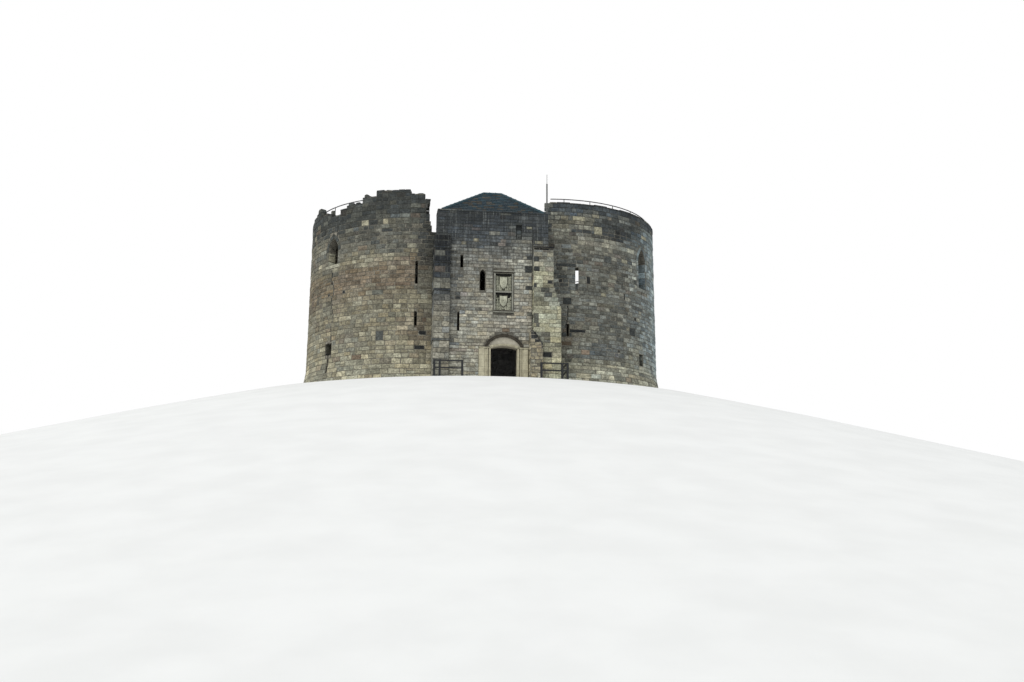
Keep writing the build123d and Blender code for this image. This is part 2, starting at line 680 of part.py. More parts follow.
def gatehouse_supports():
    """Clasping pilaster, stepped pier and the raking stub of a lost wall at its foot."""
    lap = GATE_FRONT + SUPPORT_REACH
    face = GATE_FRONT - PILASTER_PROUD
    pilaster = block(PILASTER_LEFT, PILASTER_RIGHT, face, lap, 0, PILASTER_TOP)
    for height in PILASTER_BANDS:
        pilaster += block(PILASTER_LEFT - BAND_PROUD, PILASTER_RIGHT + BAND_PROUD, face - BAND_PROUD,
                          lap, height - BAND_HEIGHT / 2, height + BAND_HEIGHT / 2)
    face = GATE_FRONT - PIER_PROUD
    pier = block(PIER_LEFT, PIER_RIGHT, face, lap, 0, PIER_TOP)
    foot = make_face(Polyline((PIER_LEFT, 0), (PIER_FOOT_RIGHT, 0), (PIER_FOOT_RIGHT, PIER_FOOT_TOP),
                              (PIER_RIGHT, PIER_RAKE_TOP), (PIER_LEFT, PIER_RAKE_TOP), close=True))
    pier += through_y(foot, 0, face, lap)
    slope = make_face(Polyline((face - PIER_CAP_PROUD, PIER_TOP), (GATE_FRONT, PIER_TOP),
                               (GATE_FRONT, PIER_TOP + PIER_CAP_HEIGHT),
                               (face - PIER_CAP_PROUD, PIER_TOP + 0.4 * PIER_CAP_HEIGHT), close=True))
    pier += extrude(Plane.YZ.offset(PIER_LEFT) * slope, GATE_RIGHT - PIER_LEFT)
    pier = clear_of_front_lobe(pier, "front_right")
    left = max(STUB_LEFT, DOOR_CENTRE + DOOR_WIDTH / 2 + CASING_WIDTH)
    stub_face = make_face(Polyline((left, 0), (STUB_RIGHT, 0), (STUB_RIGHT, STUB_LOW_TOP),
                                   (left + 120, STUB_TOP), (left, STUB_TOP), close=True))
    stub = through_y(stub_face, 0, GATE_FRONT - STUB_PROUD, GATE_FRONT) - pier
    return {
        "gate_pilaster": clear_of_front_lobe(pilaster, "front_left"),
        "gate_pier": pier,
        "raking_stub": stub,
    }


def hip_outline(drop):
    """Solid hipped form over the gatehouse, lowered by a drop for the underside."""
    ridge = EAVES_HEIGHT + ROOF_RISE - drop
    base = EAVES_HEIGHT - drop
    middle_y = (ROOF_FRONT + ROOF_BACK) / 2
    middle_x = (ROOF_LEFT + ROOF_RIGHT) / 2 + RIDGE_OFFSET
    gable = Plane.YZ.offset(ROOF_LEFT) * make_face(
        Polyline((ROOF_FRONT, base), (ROOF_BACK, base), (middle_y, ridge), close=True))
    hips = Plane.XZ * make_face(
        Polyline((ROOF_LEFT, base), (ROOF_RIGHT, base), (middle_x + RIDGE_LENGTH / 2, ridge),
                 (middle_x - RIDGE_LENGTH / 2, ridge), close=True))
    across = Pos(0, ROOF_BACK, 0) * extrude(hips, ROOF_BACK - ROOF_FRONT)
    return extrude(gable, ROOF_RIGHT - ROOF_LEFT) & across


def roof():
    above = block(-TALL, TALL, -TALL, TALL, EAVES_HEIGHT, TALL)
    slates = hip_outline(0) - hip_outline(SLATE_THICKNESS * 1.3)
    slates &= above
    middle_y = (ROOF_FRONT + ROOF_BACK) / 2
    middle_x = (ROOF_LEFT + ROOF_RIGHT) / 2 + RIDGE_OFFSET
    top = EAVES_HEIGHT + ROOF_RISE
    ends = [Vector(middle_x + side * RIDGE_LENGTH / 2, middle_y, top) for side in (-1, 1)]
    runs = [(ends[0], ends[1])]
    for x, end in ((ROOF_LEFT, ends[0]), (ROOF_RIGHT, ends[1])):
        for y in (ROOF_FRONT, ROOF_BACK):
            runs.append((Vector(x, y, EAVES_HEIGHT), end))
    tiles = None
    for start, end in runs:
        run = end - start
        tube = Plane(origin=start, z_dir=run) * extrude(Circle(RIDGE_TILE_RADIUS), run.length)
        tiles = tube if tiles is None else tiles + tube
    for point in ends:
        tiles += Pos(*point) * Sphere(RIDGE_TILE_RADIUS)
    tiles = (tiles & above) - hip_outline(0)
    return {"roof_slates": slates, "ridge_tiles": tiles}


def rod():
    foot = Pos(GATE_RIGHT - ROD_INSET, GATE_FRONT + ROD_INSET, EAVES_HEIGHT)
    low = (Align.CENTER, Align.CENTER, Align.MIN)
    mast = Box(ROD_PLATE, ROD_PLATE, 20, align=low) + Cylinder(ROD_RADIUS, ROD_HEIGHT, align=low)
    mast += Pos(0, 0, ROD_HEIGHT) * Cylinder(ROD_TIP_RADIUS, ROD_TIP_HEIGHT, align=low)
    return {"lightning_rod": foot * mast}


def guard_rail(start, corner, anchor):
    """Two-sided guard: a run from start to corner, and a return from corner back to a wall."""
    rail = None
    toward = 1 if start[0] > corner[0] else -1
    inner = (corner[0] + toward * GUARD_INNER_POST, corner[1])
    for foot in (start, corner, inner):
        post = Pos(foot[0], foot[1], GUARD_HEIGHT / 2) * Box(GUARD_POST, GUARD_POST, GUARD_HEIGHT)
        rail = post if rail is None else rail + post
    for height in (60, 500, GUARD_HEIGHT - GUARD_BAR / 2):
        for a, b in ((start, corner), (corner, anchor)):
            run = Vector(b[0] - a[0], b[1] - a[1], 0)
            plane = Plane(origin=(a[0], a[1], height), z_dir=run)
            rail += plane * extrude(Rectangle(GUARD_BAR, GUARD_BAR), run.length)
    return rail


def landing_guards():
    line = GATE_FRONT - GUARD_REACH
    left_end = PILASTER_LEFT + GUARD_BAR / 2
    left = guard_rail((left_end + GUARD_LEFT_LENGTH, line), (left_end, line), (left_end, GATE_FRONT))
    right_end = GATE_RIGHT + GUARD_RIGHT_OVERHANG
    right = guard_rail((right_end - GUARD_RIGHT_LENGTH, line), (right_end, line),
                       (right_end, GATE_FRONT + SUPPORT_REACH))
    supports = gatehouse_supports()
    left -= supports["gate_pilaster"]
    right = clear_of_front_lobe(right, "front_right") - supports["gate_pier"]
    return {"landing_guard_left": left, "landing_guard_right": right}


def angle_turret(turn):
    """Slim buttress turret in the angle between two lobes, with the pilaster's bands."""
    reentrant = LOBE_OFFSET + math.sqrt(WALL_RADIUS**2 - LOBE_OFFSET**2)
    reach = reentrant + TURRET_REACH
    root = reentrant - TURRET_REACH
    half = TURRET_HALF_WIDTH
    plan = Polyline((root, -half), (reach - TURRET_CHAMFER, -half), (reach, -half + TURRET_CHAMFER),
                    (reach, half - TURRET_CHAMFER), (reach - TURRET_CHAMFER, half), (root, half),
                    close=True)
    body = extrude(make_face(plan), TURRET_TOP)
    cap_top = TURRET_TOP + TURRET_CAP
    cap = make_face(Polyline((root, TURRET_TOP), (reach, TURRET_TOP), (reentrant, cap_top), (root, cap_top),
                             close=True))
    roofed = extrude(make_face(plan), TURRET_TOP + TURRET_CAP) & (
        Pos(0, half, 0) * extrude(Plane.XZ * cap, 2 * half))
    body += roofed
    for height in PILASTER_BANDS:
        band = offset(make_face(plan), BAND_PROUD, kind=Kind.INTERSECTION)
        body += Pos(0, 0, height - BAND_HEIGHT / 2) * extrude(band, BAND_HEIGHT)
    body = Rot(0, 0, turn) * body
    for lobe in DIAGONALS:
        body -= sector(lobe, wall_outline(), -100, 100)
    return body - court_void()


def turrets():
    return {
        "angle_turret_right": angle_turret(0),
        "angle_turret_back": angle_turret(90),
        "angle_turret_left": angle_turret(180),
    }


def court_floor(jambs):
    low = (Align.CENTER, Align.CENTER, Align.MIN)
    floor = block(-SPUR_FACE, SPUR_FACE, GATE_BACK, SPUR_FACE, 0, FLOOR_THICKNESS)
    for lobe in DIAGONALS:
        floor += Pos(*centre_of(lobe), 0) * Cylinder(INNER_RADIUS, FLOOR_THICKNESS, align=low)
    half = PASSAGE_WIDTH / 2
    floor += block(PASSAGE_CENTRE - half, PASSAGE_CENTRE + half, CHAMBER_BACK, GATE_BACK, 0,
                   FLOOR_THICKNESS)
    inner_front = GATE_FRONT + FRONT_THICKNESS
    floor += block(GATE_LEFT + SIDE_THICKNESS, GATE_RIGHT - SIDE_THICKNESS, inner_front, CHAMBER_BACK,
                   0, FLOOR_THICKNESS)
    opening_half = DOOR_WIDTH / 2 + JAMB_LINING
    floor += block(DOOR_CENTRE - opening_half, DOOR_CENTRE + opening_half, GATE_FRONT, inner_front,
                   0, FLOOR_THICKNESS)
    return {"court_floor": floor - jambs}


def build():
    nodes = {}
    nodes.update(lobe_walls())
    nodes.update(spurs())
    nodes.update(parapets())
    nodes.update(walk_rails())
    nodes.update(gatehouse_walls())
    nodes.update(door_dressings())
    nodes.update(carved_panels())
    nodes.update(gatehouse_supports())
    nodes.update(roof())
    nodes.update(rod())
    nodes.update(landing_guards())
    nodes.update(turrets())
    nodes.update(court_floor(nodes["door_jambs"]))
    return nodes


os.makedirs("parts", exist_ok=True)
for name, shape in build().items():
    export_step(shape, f"parts/{name}.step")
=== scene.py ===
"""Looks of the stone keep: every wall is laid stone by stone over the solid masses of the model.

Metres, in the model's own frame: +Z up, -Y towards the entrance, origin in the middle of the court.
"""

import math
import random

import bmesh
import bpy
from mathutils import Matrix, Vector, noise


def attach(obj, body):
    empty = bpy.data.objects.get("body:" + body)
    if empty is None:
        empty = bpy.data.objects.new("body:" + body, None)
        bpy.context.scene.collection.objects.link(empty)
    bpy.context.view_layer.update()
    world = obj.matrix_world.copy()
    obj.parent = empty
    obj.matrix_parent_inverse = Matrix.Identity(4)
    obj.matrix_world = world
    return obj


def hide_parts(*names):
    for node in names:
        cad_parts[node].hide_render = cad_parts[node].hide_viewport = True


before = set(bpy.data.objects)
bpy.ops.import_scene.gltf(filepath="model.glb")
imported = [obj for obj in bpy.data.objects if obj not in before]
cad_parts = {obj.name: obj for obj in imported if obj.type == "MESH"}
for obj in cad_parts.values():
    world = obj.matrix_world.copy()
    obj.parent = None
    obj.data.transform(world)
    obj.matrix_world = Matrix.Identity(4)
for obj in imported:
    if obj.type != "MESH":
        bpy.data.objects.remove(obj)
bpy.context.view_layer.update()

# Sizes of the model that the stones follow
OFFSET, RADIUS, INNER = 3.75, 6.2, 3.4
LEAN, BATTER, SPREAD = 0.06, 1.35, 0.26
WALK, PARAPET, PARAPET_THICK = 8.9, 1.18, 0.62
SPUR_FACE, SPUR_HALF, FLOOR = 4.6, 0.45, 0.15
GATE_L, GATE_R, GATE_FRONT, GATE_BACK = -3.2, 2.6, -11.2, -5.6
UPPER_BACK, EAVES, NOTCH, INSET = -6.7, 9.05, 8.15, 0.26
DOOR_X, DOOR_HALF, PANEL_X = 0.31, 0.68, 0.262
SPRINGING, IMPOST = 1.75, 1.79
HOOD_WIDTH, HOOD_RISE = 1.77, 0.56
PASSAGE_HALF = 0.897
PIL_L, PIL_R, PIL_FACE, PIL_TOP = -3.33, -2.52, -11.38, 7.6
PIER_L, PIER_R, PIER_FACE, PIER_TOP = 1.79, 2.82, -11.55, 7.05
PIER_FOOT_R, PIER_FOOT_TOP, RAKE_TOP = 3.21, 3.9, 5.05
STUB_L, STUB_R, STUB_TOP, STUB_LOW, STUB_FRONT = 1.61, 2.24, 2.6, 1.85, -11.76
STUB_KNEE = STUB_L + 0.12
BANDS, BAND_HALF = (2.1, 4.7, 6.15, 6.95), 0.05
TURRET_HALF, TURRET_CHAMFER, TURRET_SIDE, TURRET_TOP = 0.85, 0.35, 0.55, 8.3
TURRET_REACH = OFFSET + math.sqrt(RADIUS**2 - OFFSET**2) + 0.9
DRESSING = 0.2
ARCH_RISE = math.sin(math.radians(60))
SIGN = {"front_left": (-1, -1), "front_right": (1, -1), "back_right": (1, 1), "back_left": (-1, 1)}


# Colours, as seen on screen, 0 to 255
def rgb(r, g, b):
    return tuple(((c / 255 + 0.055) / 1.055) ** 2.4 if c > 10 else c / 3294 for c in (r, g, b))


STONE = {
    "bone": rgb(176, 173, 152),
    "cream": rgb(156, 152, 131),
    "lemon": rgb(166, 161, 130),
    "sand": rgb(138, 133, 114),
    "tan": rgb(128, 117, 98),
    "warm": rgb(134, 120, 105),
    "rust": rgb(106, 94, 80),
    "mist": rgb(150, 162, 160),
    "ash": rgb(112, 111, 101),
    "drab": rgb(96, 97, 89),
    "slate": rgb(84, 87, 84),
    "blue": rgb(90, 96, 97),
    "soot": rgb(62, 65, 64),
    "coal": rgb(44, 46, 46),
}
SLATE_TINTS = (rgb(26, 45, 53), rgb(34, 48, 54), rgb(24, 41, 50), rgb(52, 51, 46))
ODD = {"bone": 2, "cream": 4, "warm": 2, "rust": 2, "drab": 3, "slate": 2, "blue": 1, "coal": 1}

# How the stone changes from the foot up: height, stone, gain
LEFT_TONES = [
    (0, "bone", 1), (1, "cream", 1), (1.9, "sand", 1.02), (4.6, "sand", 0.92), (5.2, "tan", 0.75),
    (6.2, "tan", 0.77), (6.7, "sand", 0.77), (7.3, "ash", 0.95), (8, "ash", 0.84), (8.6, "slate", 0.62),
    (9.3, "slate", 0.72), (10, "slate", 1.05),
]
RIGHT_TONES = [
    (0, "bone", 0.95), (1.2, "cream", 0.92), (1.8, "ash", 0.9), (2.45, "ash", 1.12), (3.1, "ash", 1.03),
    (3.9, "ash", 1.1), (5.2, "ash", 1.08), (5.9, "ash", 1.1), (7.4, "ash", 0.76), (8, "ash", 1.08),
    (8.6, "slate", 0.8), (9.5, "slate", 0.9), (10, "blue", 1.1),
]
GATE_TONES = [
    (0, "cream", 1.1), (1.2, "cream", 1.05), (1.9, "sand", 1.22), (3.2, "sand", 1.3), (4.5, "sand", 1.16),
    (5.3, "sand", 0.92), (6, "ash", 1.12), (6.7, "ash", 1.0), (7.4, "slate", 1.0), (8, "soot", 1.08),
    (8.5, "soot", 0.95), (9, "soot", 0.75),
]
PILASTER_TONES = [
    (0, "cream", 1), (1.5, "sand", 0.95), (3.3, "sand", 1), (3.9, "ash", 0.95), (4.4, "ash", 0.9),
    (4.7, "soot", 0.8), (4.75, "bone", 0.46), (5.15, "cream", 0.48), (5.4, "soot", 0.75),
    (6.6, "coal", 0.8), (7.6, "coal", 0.35),
]
PIER_TONES = [
    (0, "lemon", 1.02), (1.7, "lemon", 1.12), (3.1, "lemon", 1.0), (4.5, "lemon", 1.02),
    (5.9, "lemon", 0.96), (6.6, "cream", 0.88), (7.15, "ash", 0.9),
]
COURT_TONES = [(0, "cream", 1), (4, "sand", 1), (6.5, "tan", 1), (8, "ash", 1), (9, "slate", 1)]
FLAG_TONES = [(0, "ash", 1)]
RIGHT_TINT = (0.98, 1.01, 1.07)
GATE_TINT = (1.01, 1.04, 1.17)
PIER_TINT = (1.0, 1.04, 1.17)
STUB_TINT = (1.15, 1.12, 1.12)


def blend(first, second, share):
    return tuple(a + (b - a) * share for a, b in zip(first, second))


def shaded(colour, gain):
    return tuple(c * gain for c in colour)


def tone_at(tones, height):
    low, first, gain = tones[0]
    for high, second, far_gain in tones[1:]:
        if height < high:
            share = max(0, (height - low) / (high - low))
            return shaded(blend(STONE[first], STONE[second], share), gain + (far_gain - gain) * share)
        low, first, gain = high, second, far_gain
    return shaded(STONE[first], gain)


# Channel in the wall heads behind the skewed loop: its line, its half width and its rising foot
CHANNEL = (4.355, -9.92, math.radians(79.2), 0.25, 8.2, 12.9, 5.08, 0.2436)


def in_channel(x, y, z):
    x0, y0, heading, half, start, end, foot, slope = CHANNEL
    along = (x - x0) * math.cos(heading) + (y - y0) * math.sin(heading)
    across = (y - y0) * math.cos(heading) - (x - x0) * math.sin(heading)
    return abs(across) < half and start < along < end and z > foot + slope * along


def middle_of(outline):
    return [sum(p[axis] for p in outline) / len(outline) for axis in (0, 1)]


def put(name, data):
    thing = bpy.data.objects.new(name, data)
    bpy.context.scene.collection.objects.link(thing)
    return thing


class Masonry:
    """Stones gathered into one mesh, each with its own colour and worn outline."""

    def __init__(self, name, seed, stains=(), marks=(), spread=0.17, odd=0.24, drift=1.1, tint=(1, 1, 1)):
        self.name, self.seed = name, seed
        self.stains, self.marks = stains, marks
        self.spread, self.odd, self.drift, self.tint = spread, odd, drift, tint
        self.rng = random.Random(seed)
        self.verts, self.faces, self.colours = [], [], []

    def tone(self, tones, u, v):
        """Colour of the stone at a spot: drifting zones, stained patches, and odd stones among them."""
        rng = self.rng
        drift = noise.noise(Vector((u * 0.55, v * 0.7, self.seed)))
        patch = noise.noise(Vector((u * 1.1, v * 1.4, self.seed + 50)))
        colour = tone_at(tones, v + self.drift * drift)
        if rng.random() < self.odd:
            name = rng.choices(list(ODD), weights=list(ODD.values()))[0]
            colour = blend(colour, STONE[name], rng.uniform(0.2, 0.65))
        shade = math.exp(rng.gauss(0, self.spread)) * (1 + 0.3 * patch)
        warm = rng.gauss(0, 0.025)
        for u0, u1, v0, v1, name, share in self.stains:
            depth = min(u - u0, u1 - u, v - v0, v1 - v) / 0.25 + rng.uniform(0, 1)
            if depth > 0:
                colour = blend(colour, STONE[name], share * min(1, depth))
        r, g, b = (c * shade * t for c, t in zip(colour, self.tint))
        return (r * (1 + warm), g, b * (1 - 1.5 * warm))

    def ring(self, points, colour, clean):
        """Loop of points. How clean they are goes from 0 in a joint to 1 on the face."""
        first = len(self.verts)
        self.verts += points
        self.colours += [(*colour, clean)] * len(points)
        return first

    def skin(self, first, n, loops, peak=False):
        """Faces over loops of n points. The foot is flat, and so is the head unless it has a peak."""
        last = first + (loops - 1) * n
        for a in range(first, last, n):
            for i in range(n):
                j = (i + 1) % n
                self.faces.append((a + i, a + j, a + n + j, a + n + i))
        self.faces.append(tuple(range(first + n - 1, first - 1, -1)))
        if peak:
            self.faces += [(last + i, last + (i + 1) % n, last + n) for i in range(n)]
        else:
            self.faces.append(tuple(range(last, last + n)))

    def poly(self, place, outline, proud, colour, chamfer=0.016, bulge=0.008, sink=0.03):
        """A stone with a given outline of (u, v) points, anticlockwise seen from outside."""
        if any(in_channel(*place(u, v, 0)) for u, v in outline):
            return
        rng = self.rng
        cu, cv = middle_of(outline)
        size = max(max(abs(u - cu), abs(v - cv)) for u, v in outline)
        inset = 1 - min(chamfer * 1.6 / size, 0.5)
        face = [place(cu + (u - cu) * inset, cv + (v - cv) * inset, proud + rng.uniform(-0.003, 0.003))
                for u, v in outline]
        first = self.ring([place(u, v, -sink) for u, v in outline], colour, 0.0)
        self.ring([place(u, v, proud - chamfer) for u, v in outline], colour, 0.25)
        self.ring(face + [place(cu, cv, proud + bulge * rng.uniform(0.2, 1.2))], colour, 1.0)
        self.skin(first, len(outline), 3, peak=True)

    def stone(self, place, u0, u1, v0, v1, colour, proud=None, joint=0.005, ragged=0.014, chamfer=0.016,
              bed=0.003):
        """A squared block between two joints and two beds."""
        rng = self.rng
        if u1 - u0 < 0.05 or v1 - v0 < 0.05:
            return
        proud = rng.uniform(0.006, 0.028) if proud is None else proud * rng.uniform(0.6, 1.3)
        um = (u0 + u1) / 2 + rng.uniform(-0.1, 0.1) * (u1 - u0)
        vm = (v0 + v1) / 2 + rng.uniform(-0.1, 0.1) * (v1 - v0)
        v0, v1 = v0 + bed, v1 - bed
        wear = lambda: joint + rng.random() ** 3 * ragged
        outline = [
            (u0 + wear(), v0 + wear()), (um, v0 + wear()), (u1 - wear(), v0 + wear()), (u1 - wear(), vm),
            (u1 - wear(), v1 - wear()), (um, v1 - wear()), (u0 + wear(), v1 - wear()), (u0 + wear(), vm),
        ]
        self.poly(place, outline, proud, colour, chamfer)

    def run(self, place, u0, u1, v0, v1, tones, lengths=(0.36, 0.72), split=0.0, **finish):
        """A stretch of one course, cut into blocks."""
        rng = self.rng
        u = u0
        while u < u1 - 0.02:
            end = u + rng.uniform(*lengths)
            if end > u1 - lengths[0] * 0.6:
                end = u1
            halves = [(v0, v1)]
            if split and v1 - v0 > 0.27 and rng.random() < split:
                middle = v0 + (v1 - v0) * rng.uniform(0.4, 0.6)
                halves = [(v0, middle), (middle, v1)]
            for low, high in halves:
                if len(halves) == 2 and end - u > 0.55:
                    cut = u + (end - u) * rng.uniform(0.35, 0.65)
                    for a, b in ((u, cut), (cut, end)):
                        self.stone(place, a, b, low, high, self.tone(tones, a, low), **finish)
                else:
                    colour = self.tone(tones, (u + end) / 2, (low + high) / 2)
                    self.stone(place, u, end, low, high, colour, **finish)
            u = end

    def wall(self, place, span, bottom, top, tones, courses, lengths, blocked=None, **finish):
        """Courses of blocks over a face. span gives the ends for a height, blocked the gaps."""
        large = {}
        for v0, v1 in beds(self.rng, bottom, top, courses):
            middle = (v0 + v1) / 2
            ends = span(middle) if callable(span) else span
            marks = [m for m in self.marks if m[2] <= middle < m[3] or v0 <= (m[2] + m[3]) / 2 < v1]
            taken = blocked(v0, v1) if blocked else []
            for a, b in free_runs(ends, taken + [m[:2] for m in marks]):
                self.run(place, a, b, v0, v1, tones, lengths, **finish)
            for mark in marks:
                large[mark] = (large[mark][0] if mark in large else v0, v1, ends)
        for mark, (v0, v1, ends) in large.items():
            taken = blocked(v0, v1) if blocked else []
            for a, b in free_runs((max(mark[0], ends[0]), min(mark[1], ends[1])), taken):
                colour = shaded(STONE[mark[4]], self.rng.uniform(0.75, 1.15))
                self.stone(place, a, b, v0, v1, colour, proud=0.003 if mark[4] == "coal" else 0.018)

    def side(self, start, end, *rest, **finish):
        """A wall over the upright plane between two plan points."""
        place, length = flat_face(start, end)
        self.wall(place, (0, length), *rest, **finish)

    def banded(self, start, end, top, *rest, **finish):
        """A side of a pilaster or turret between its string courses."""
        edges = [0, *(band for band in BANDS if band < top), top]
        for foot, head in zip(edges, edges[1:]):
            foot += BAND_HALF if foot in BANDS else 0
            head -= BAND_HALF if head in BANDS else 0
            self.side(start, end, foot, head, *rest, **finish)

    def lump(self, spot, size, name):
        """Loose or broken stone: a squarish boulder with a rough skin."""
        form = bmesh.new()
        bmesh.ops.create_icosphere(form, subdivisions=2, radius=1)
        turn = self.rng.uniform(0, math.pi)
        c, s = math.cos(turn), math.sin(turn)
        points = []
        for vert in form.verts:
            x, y, z = (math.copysign(abs(q) ** 0.6, q) * half for q, half in zip(vert.co, size))
            rough = 1 + 0.22 * noise.noise(vert.co * 1.7 + Vector(spot))
            shift = (x * c - y * s, x * s + y * c, z)
            points.append(tuple(at + by * rough for at, by in zip(spot, shift)))
        first = self.ring(points, STONE[name], 0.8)
        self.faces += [tuple(first + v.index for v in face.verts) for face in form.faces]
        form.free()

    def finish(self, material, slot, smooth=False):
        mesh = bpy.data.meshes.new(self.name)
        mesh.from_pydata(self.verts, [], self.faces)
        layer = mesh.color_attributes.new("stone", "FLOAT_COLOR", "POINT")
        layer.data.foreach_set("color", [c for colour in self.colours for c in colour])
        mesh.materials.append(material)
        if smooth:
            mesh.shade_smooth()
        piece = put(self.name, mesh)
        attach(piece, "root")
        return piece


def beds(rng, bottom, top, courses):
    """Heights of the bed joints from bottom to top."""
    v = bottom
    rows = []
    while v < top - 0.01:
        end = v + rng.uniform(*courses)
        if end > top - courses[0] * 0.55:
            end = top
        rows.append((v, end))
        v = end
    return rows


def free_runs(ends, blocked):
    """What is left of a span once the blocked intervals are taken out."""
    runs = []
    start, stop = ends
    for a, b in sorted(blocked):
        if b <= start or a >= stop:
            continue
        if a > start:
            runs.append((start, a))
        start = max(start, b)
    if start < stop:
        runs.append((start, stop))
    return [(a, b) for a, b in runs if b - a > 0.06]


# Faces that stones are laid on: each turns (along, up, out) into a point
def wall_radius(height):
    if height < BATTER:
        return RADIUS + LEAN + SPREAD * (1 - height / BATTER)
    return RADIUS + LEAN * max(0, 1 - (height - BATTER) / (WALK - BATTER))


def polar(lobe):
    """Turns a distance from a lobe's centre, an angle from its diagonal and a height into a point."""
    sx, sy = SIGN[lobe]
    diagonal = math.atan2(sy, sx)

    def point(r, turn, z):
        a = diagonal + turn
        return (sx * OFFSET + r * math.cos(a), sy * OFFSET + r * math.sin(a), z)

    return point


def round_face(lobe):
    """Outer face of a lobe. Along is the arc at the wall's radius, from the lobe's diagonal."""
    point = polar(lobe)
    return lambda u, v, d: point(wall_radius(v) + d, u / RADIUS, v)


def hollow_face(lobe, radius):
    """Face that looks in on a lobe's centre."""
    point = polar(lobe)
    return lambda u, v, d: point(radius - d, -u / radius, v)


def ring_top(lobe, height):
    """Level top of a round wall. Up is the distance from the lobe's centre."""
    point = polar(lobe)
    return lambda u, v, d: point(v, -u / RADIUS, height + d)


def flat_face(start, end):
    """Upright plane from one plan point to another, facing to the right of that line."""
    x0, y0 = start
    length = math.hypot(end[0] - x0, end[1] - y0)
    tx, ty = (end[0] - x0) / length, (end[1] - y0) / length
    return lambda u, v, d: (x0 + tx * u + ty * d, y0 + ty * u - tx * d, v), length


def front_face(y):
    return lambda u, v, d: (u, y - d, v)


def level_face(height):
    return lambda u, v, d: (u, v, height + d)


def tilted_face(corner, along, up):
    """Plane through a corner: along and up are directions, and stones face along x up."""
    corner, along, up = Vector(corner), Vector(along).normalized(), Vector(up).normalized()
    out = along.cross(up)
    return lambda u, v, d: tuple(corner + along * u + up * v + out * d)


def turned(degrees):
    """Turns plan points about the middle of the court."""
    c, s = math.cos(math.radians(degrees)), math.sin(math.radians(degrees))
    return lambda x, y: (x * c - y * s, x * s + y * c)


# Openings in the lobes: bearing, width, sill, head, pointed, inner width, inner sill, inner head
LANCET = (0.86, 6.0, 8.27, True, 1.8, 5.7, 8.42)
HIGH_LANCET = (0.86, 6.76, 8.27, True, 1.8, 6.46, 8.42)
LOW_WINDOW = (0.42, 1.6, 2.25, False, 1.18, 1.3, 2.4)
LONG_LOOP = (0.17, 5.23, 6.51, False, 2.6, 4.93, 7.31)
LOOP = (0.14, 5.3, 6.55, False, 1.18, 4.4, 5.85)
BACK_LOOP = (0.14, 2.9, 3.9, False, 1.18, 2.0, 3.75)
OPENINGS = {
    "front_left": [
        (-6.8, *HIGH_LANCET), (-7.2, 0.54, 1.63, 2.43, False, 1.18, 0.53, 2.28),
        (-7.2, 0.14, 0.83, 1.63, False, 0, 0, 0), (41, *LOOP),
        (41, 0.14, 2.95, 3.82, False, 1.18, 2.05, 3.67),
    ],
    "front_right": [
        (4.4, *LANCET), (1.2, *LOW_WINDOW), (-39.4, *LONG_LOOP),
        (-44.2, 0.14, 2.75, 3.42, False, 1.18, 1.85, 3.27),
    ],
    "back_right": [(-4.4, *LANCET), (-1.2, *LOW_WINDOW), (39.4, *LONG_LOOP), (-50, *BACK_LOOP)],
    "back_left": [(6.8, *HIGH_LANCET), (7.2, *LOW_WINDOW), (-41, *LOOP), (50, *BACK_LOOP)],
}


def arc(degrees, radius=RADIUS):
    return math.radians(degrees) * radius


def arch_half(width, springing, height):
    """Half the width of a pointed arch at a height."""
    rise = max(0, height - springing)
    return max(0, math.sqrt(max(0, width**2 - rise**2)) - width / 2)


def outer_gaps(lobe):
    def blocked(v0, v1):
        gaps = []
        for bearing, width, sill, head, pointed, *_ in OPENINGS[lobe]:
            low, high, half = sill, head, width / 2
            if pointed:
                half = arch_half(width + 2 * DRESSING, head - width * ARCH_RISE, max(v0, sill))
                low, high = sill - DRESSING, head + DRESSING
            if v1 > low + 0.01 and v0 < high - 0.01 and half > 0:
                gaps.append((arc(bearing) - half, arc(bearing) + half))
        return gaps

    return blocked


def inner_gaps(lobe):
    def blocked(v0, v1):
        gaps = []
        for bearing, _, _, _, pointed, width, sill, head in OPENINGS[lobe]:
            half = width / 2
            if pointed:
                half = max(0.1, arch_half(width, head - width * ARCH_RISE, v0))
            if width and v1 > sill + 0.01 and v0 < head - 0.01:
                u = arc(-bearing, INNER)
                gaps.append((u - half * 1.05, u + half * 1.05))
        return gaps

    return blocked


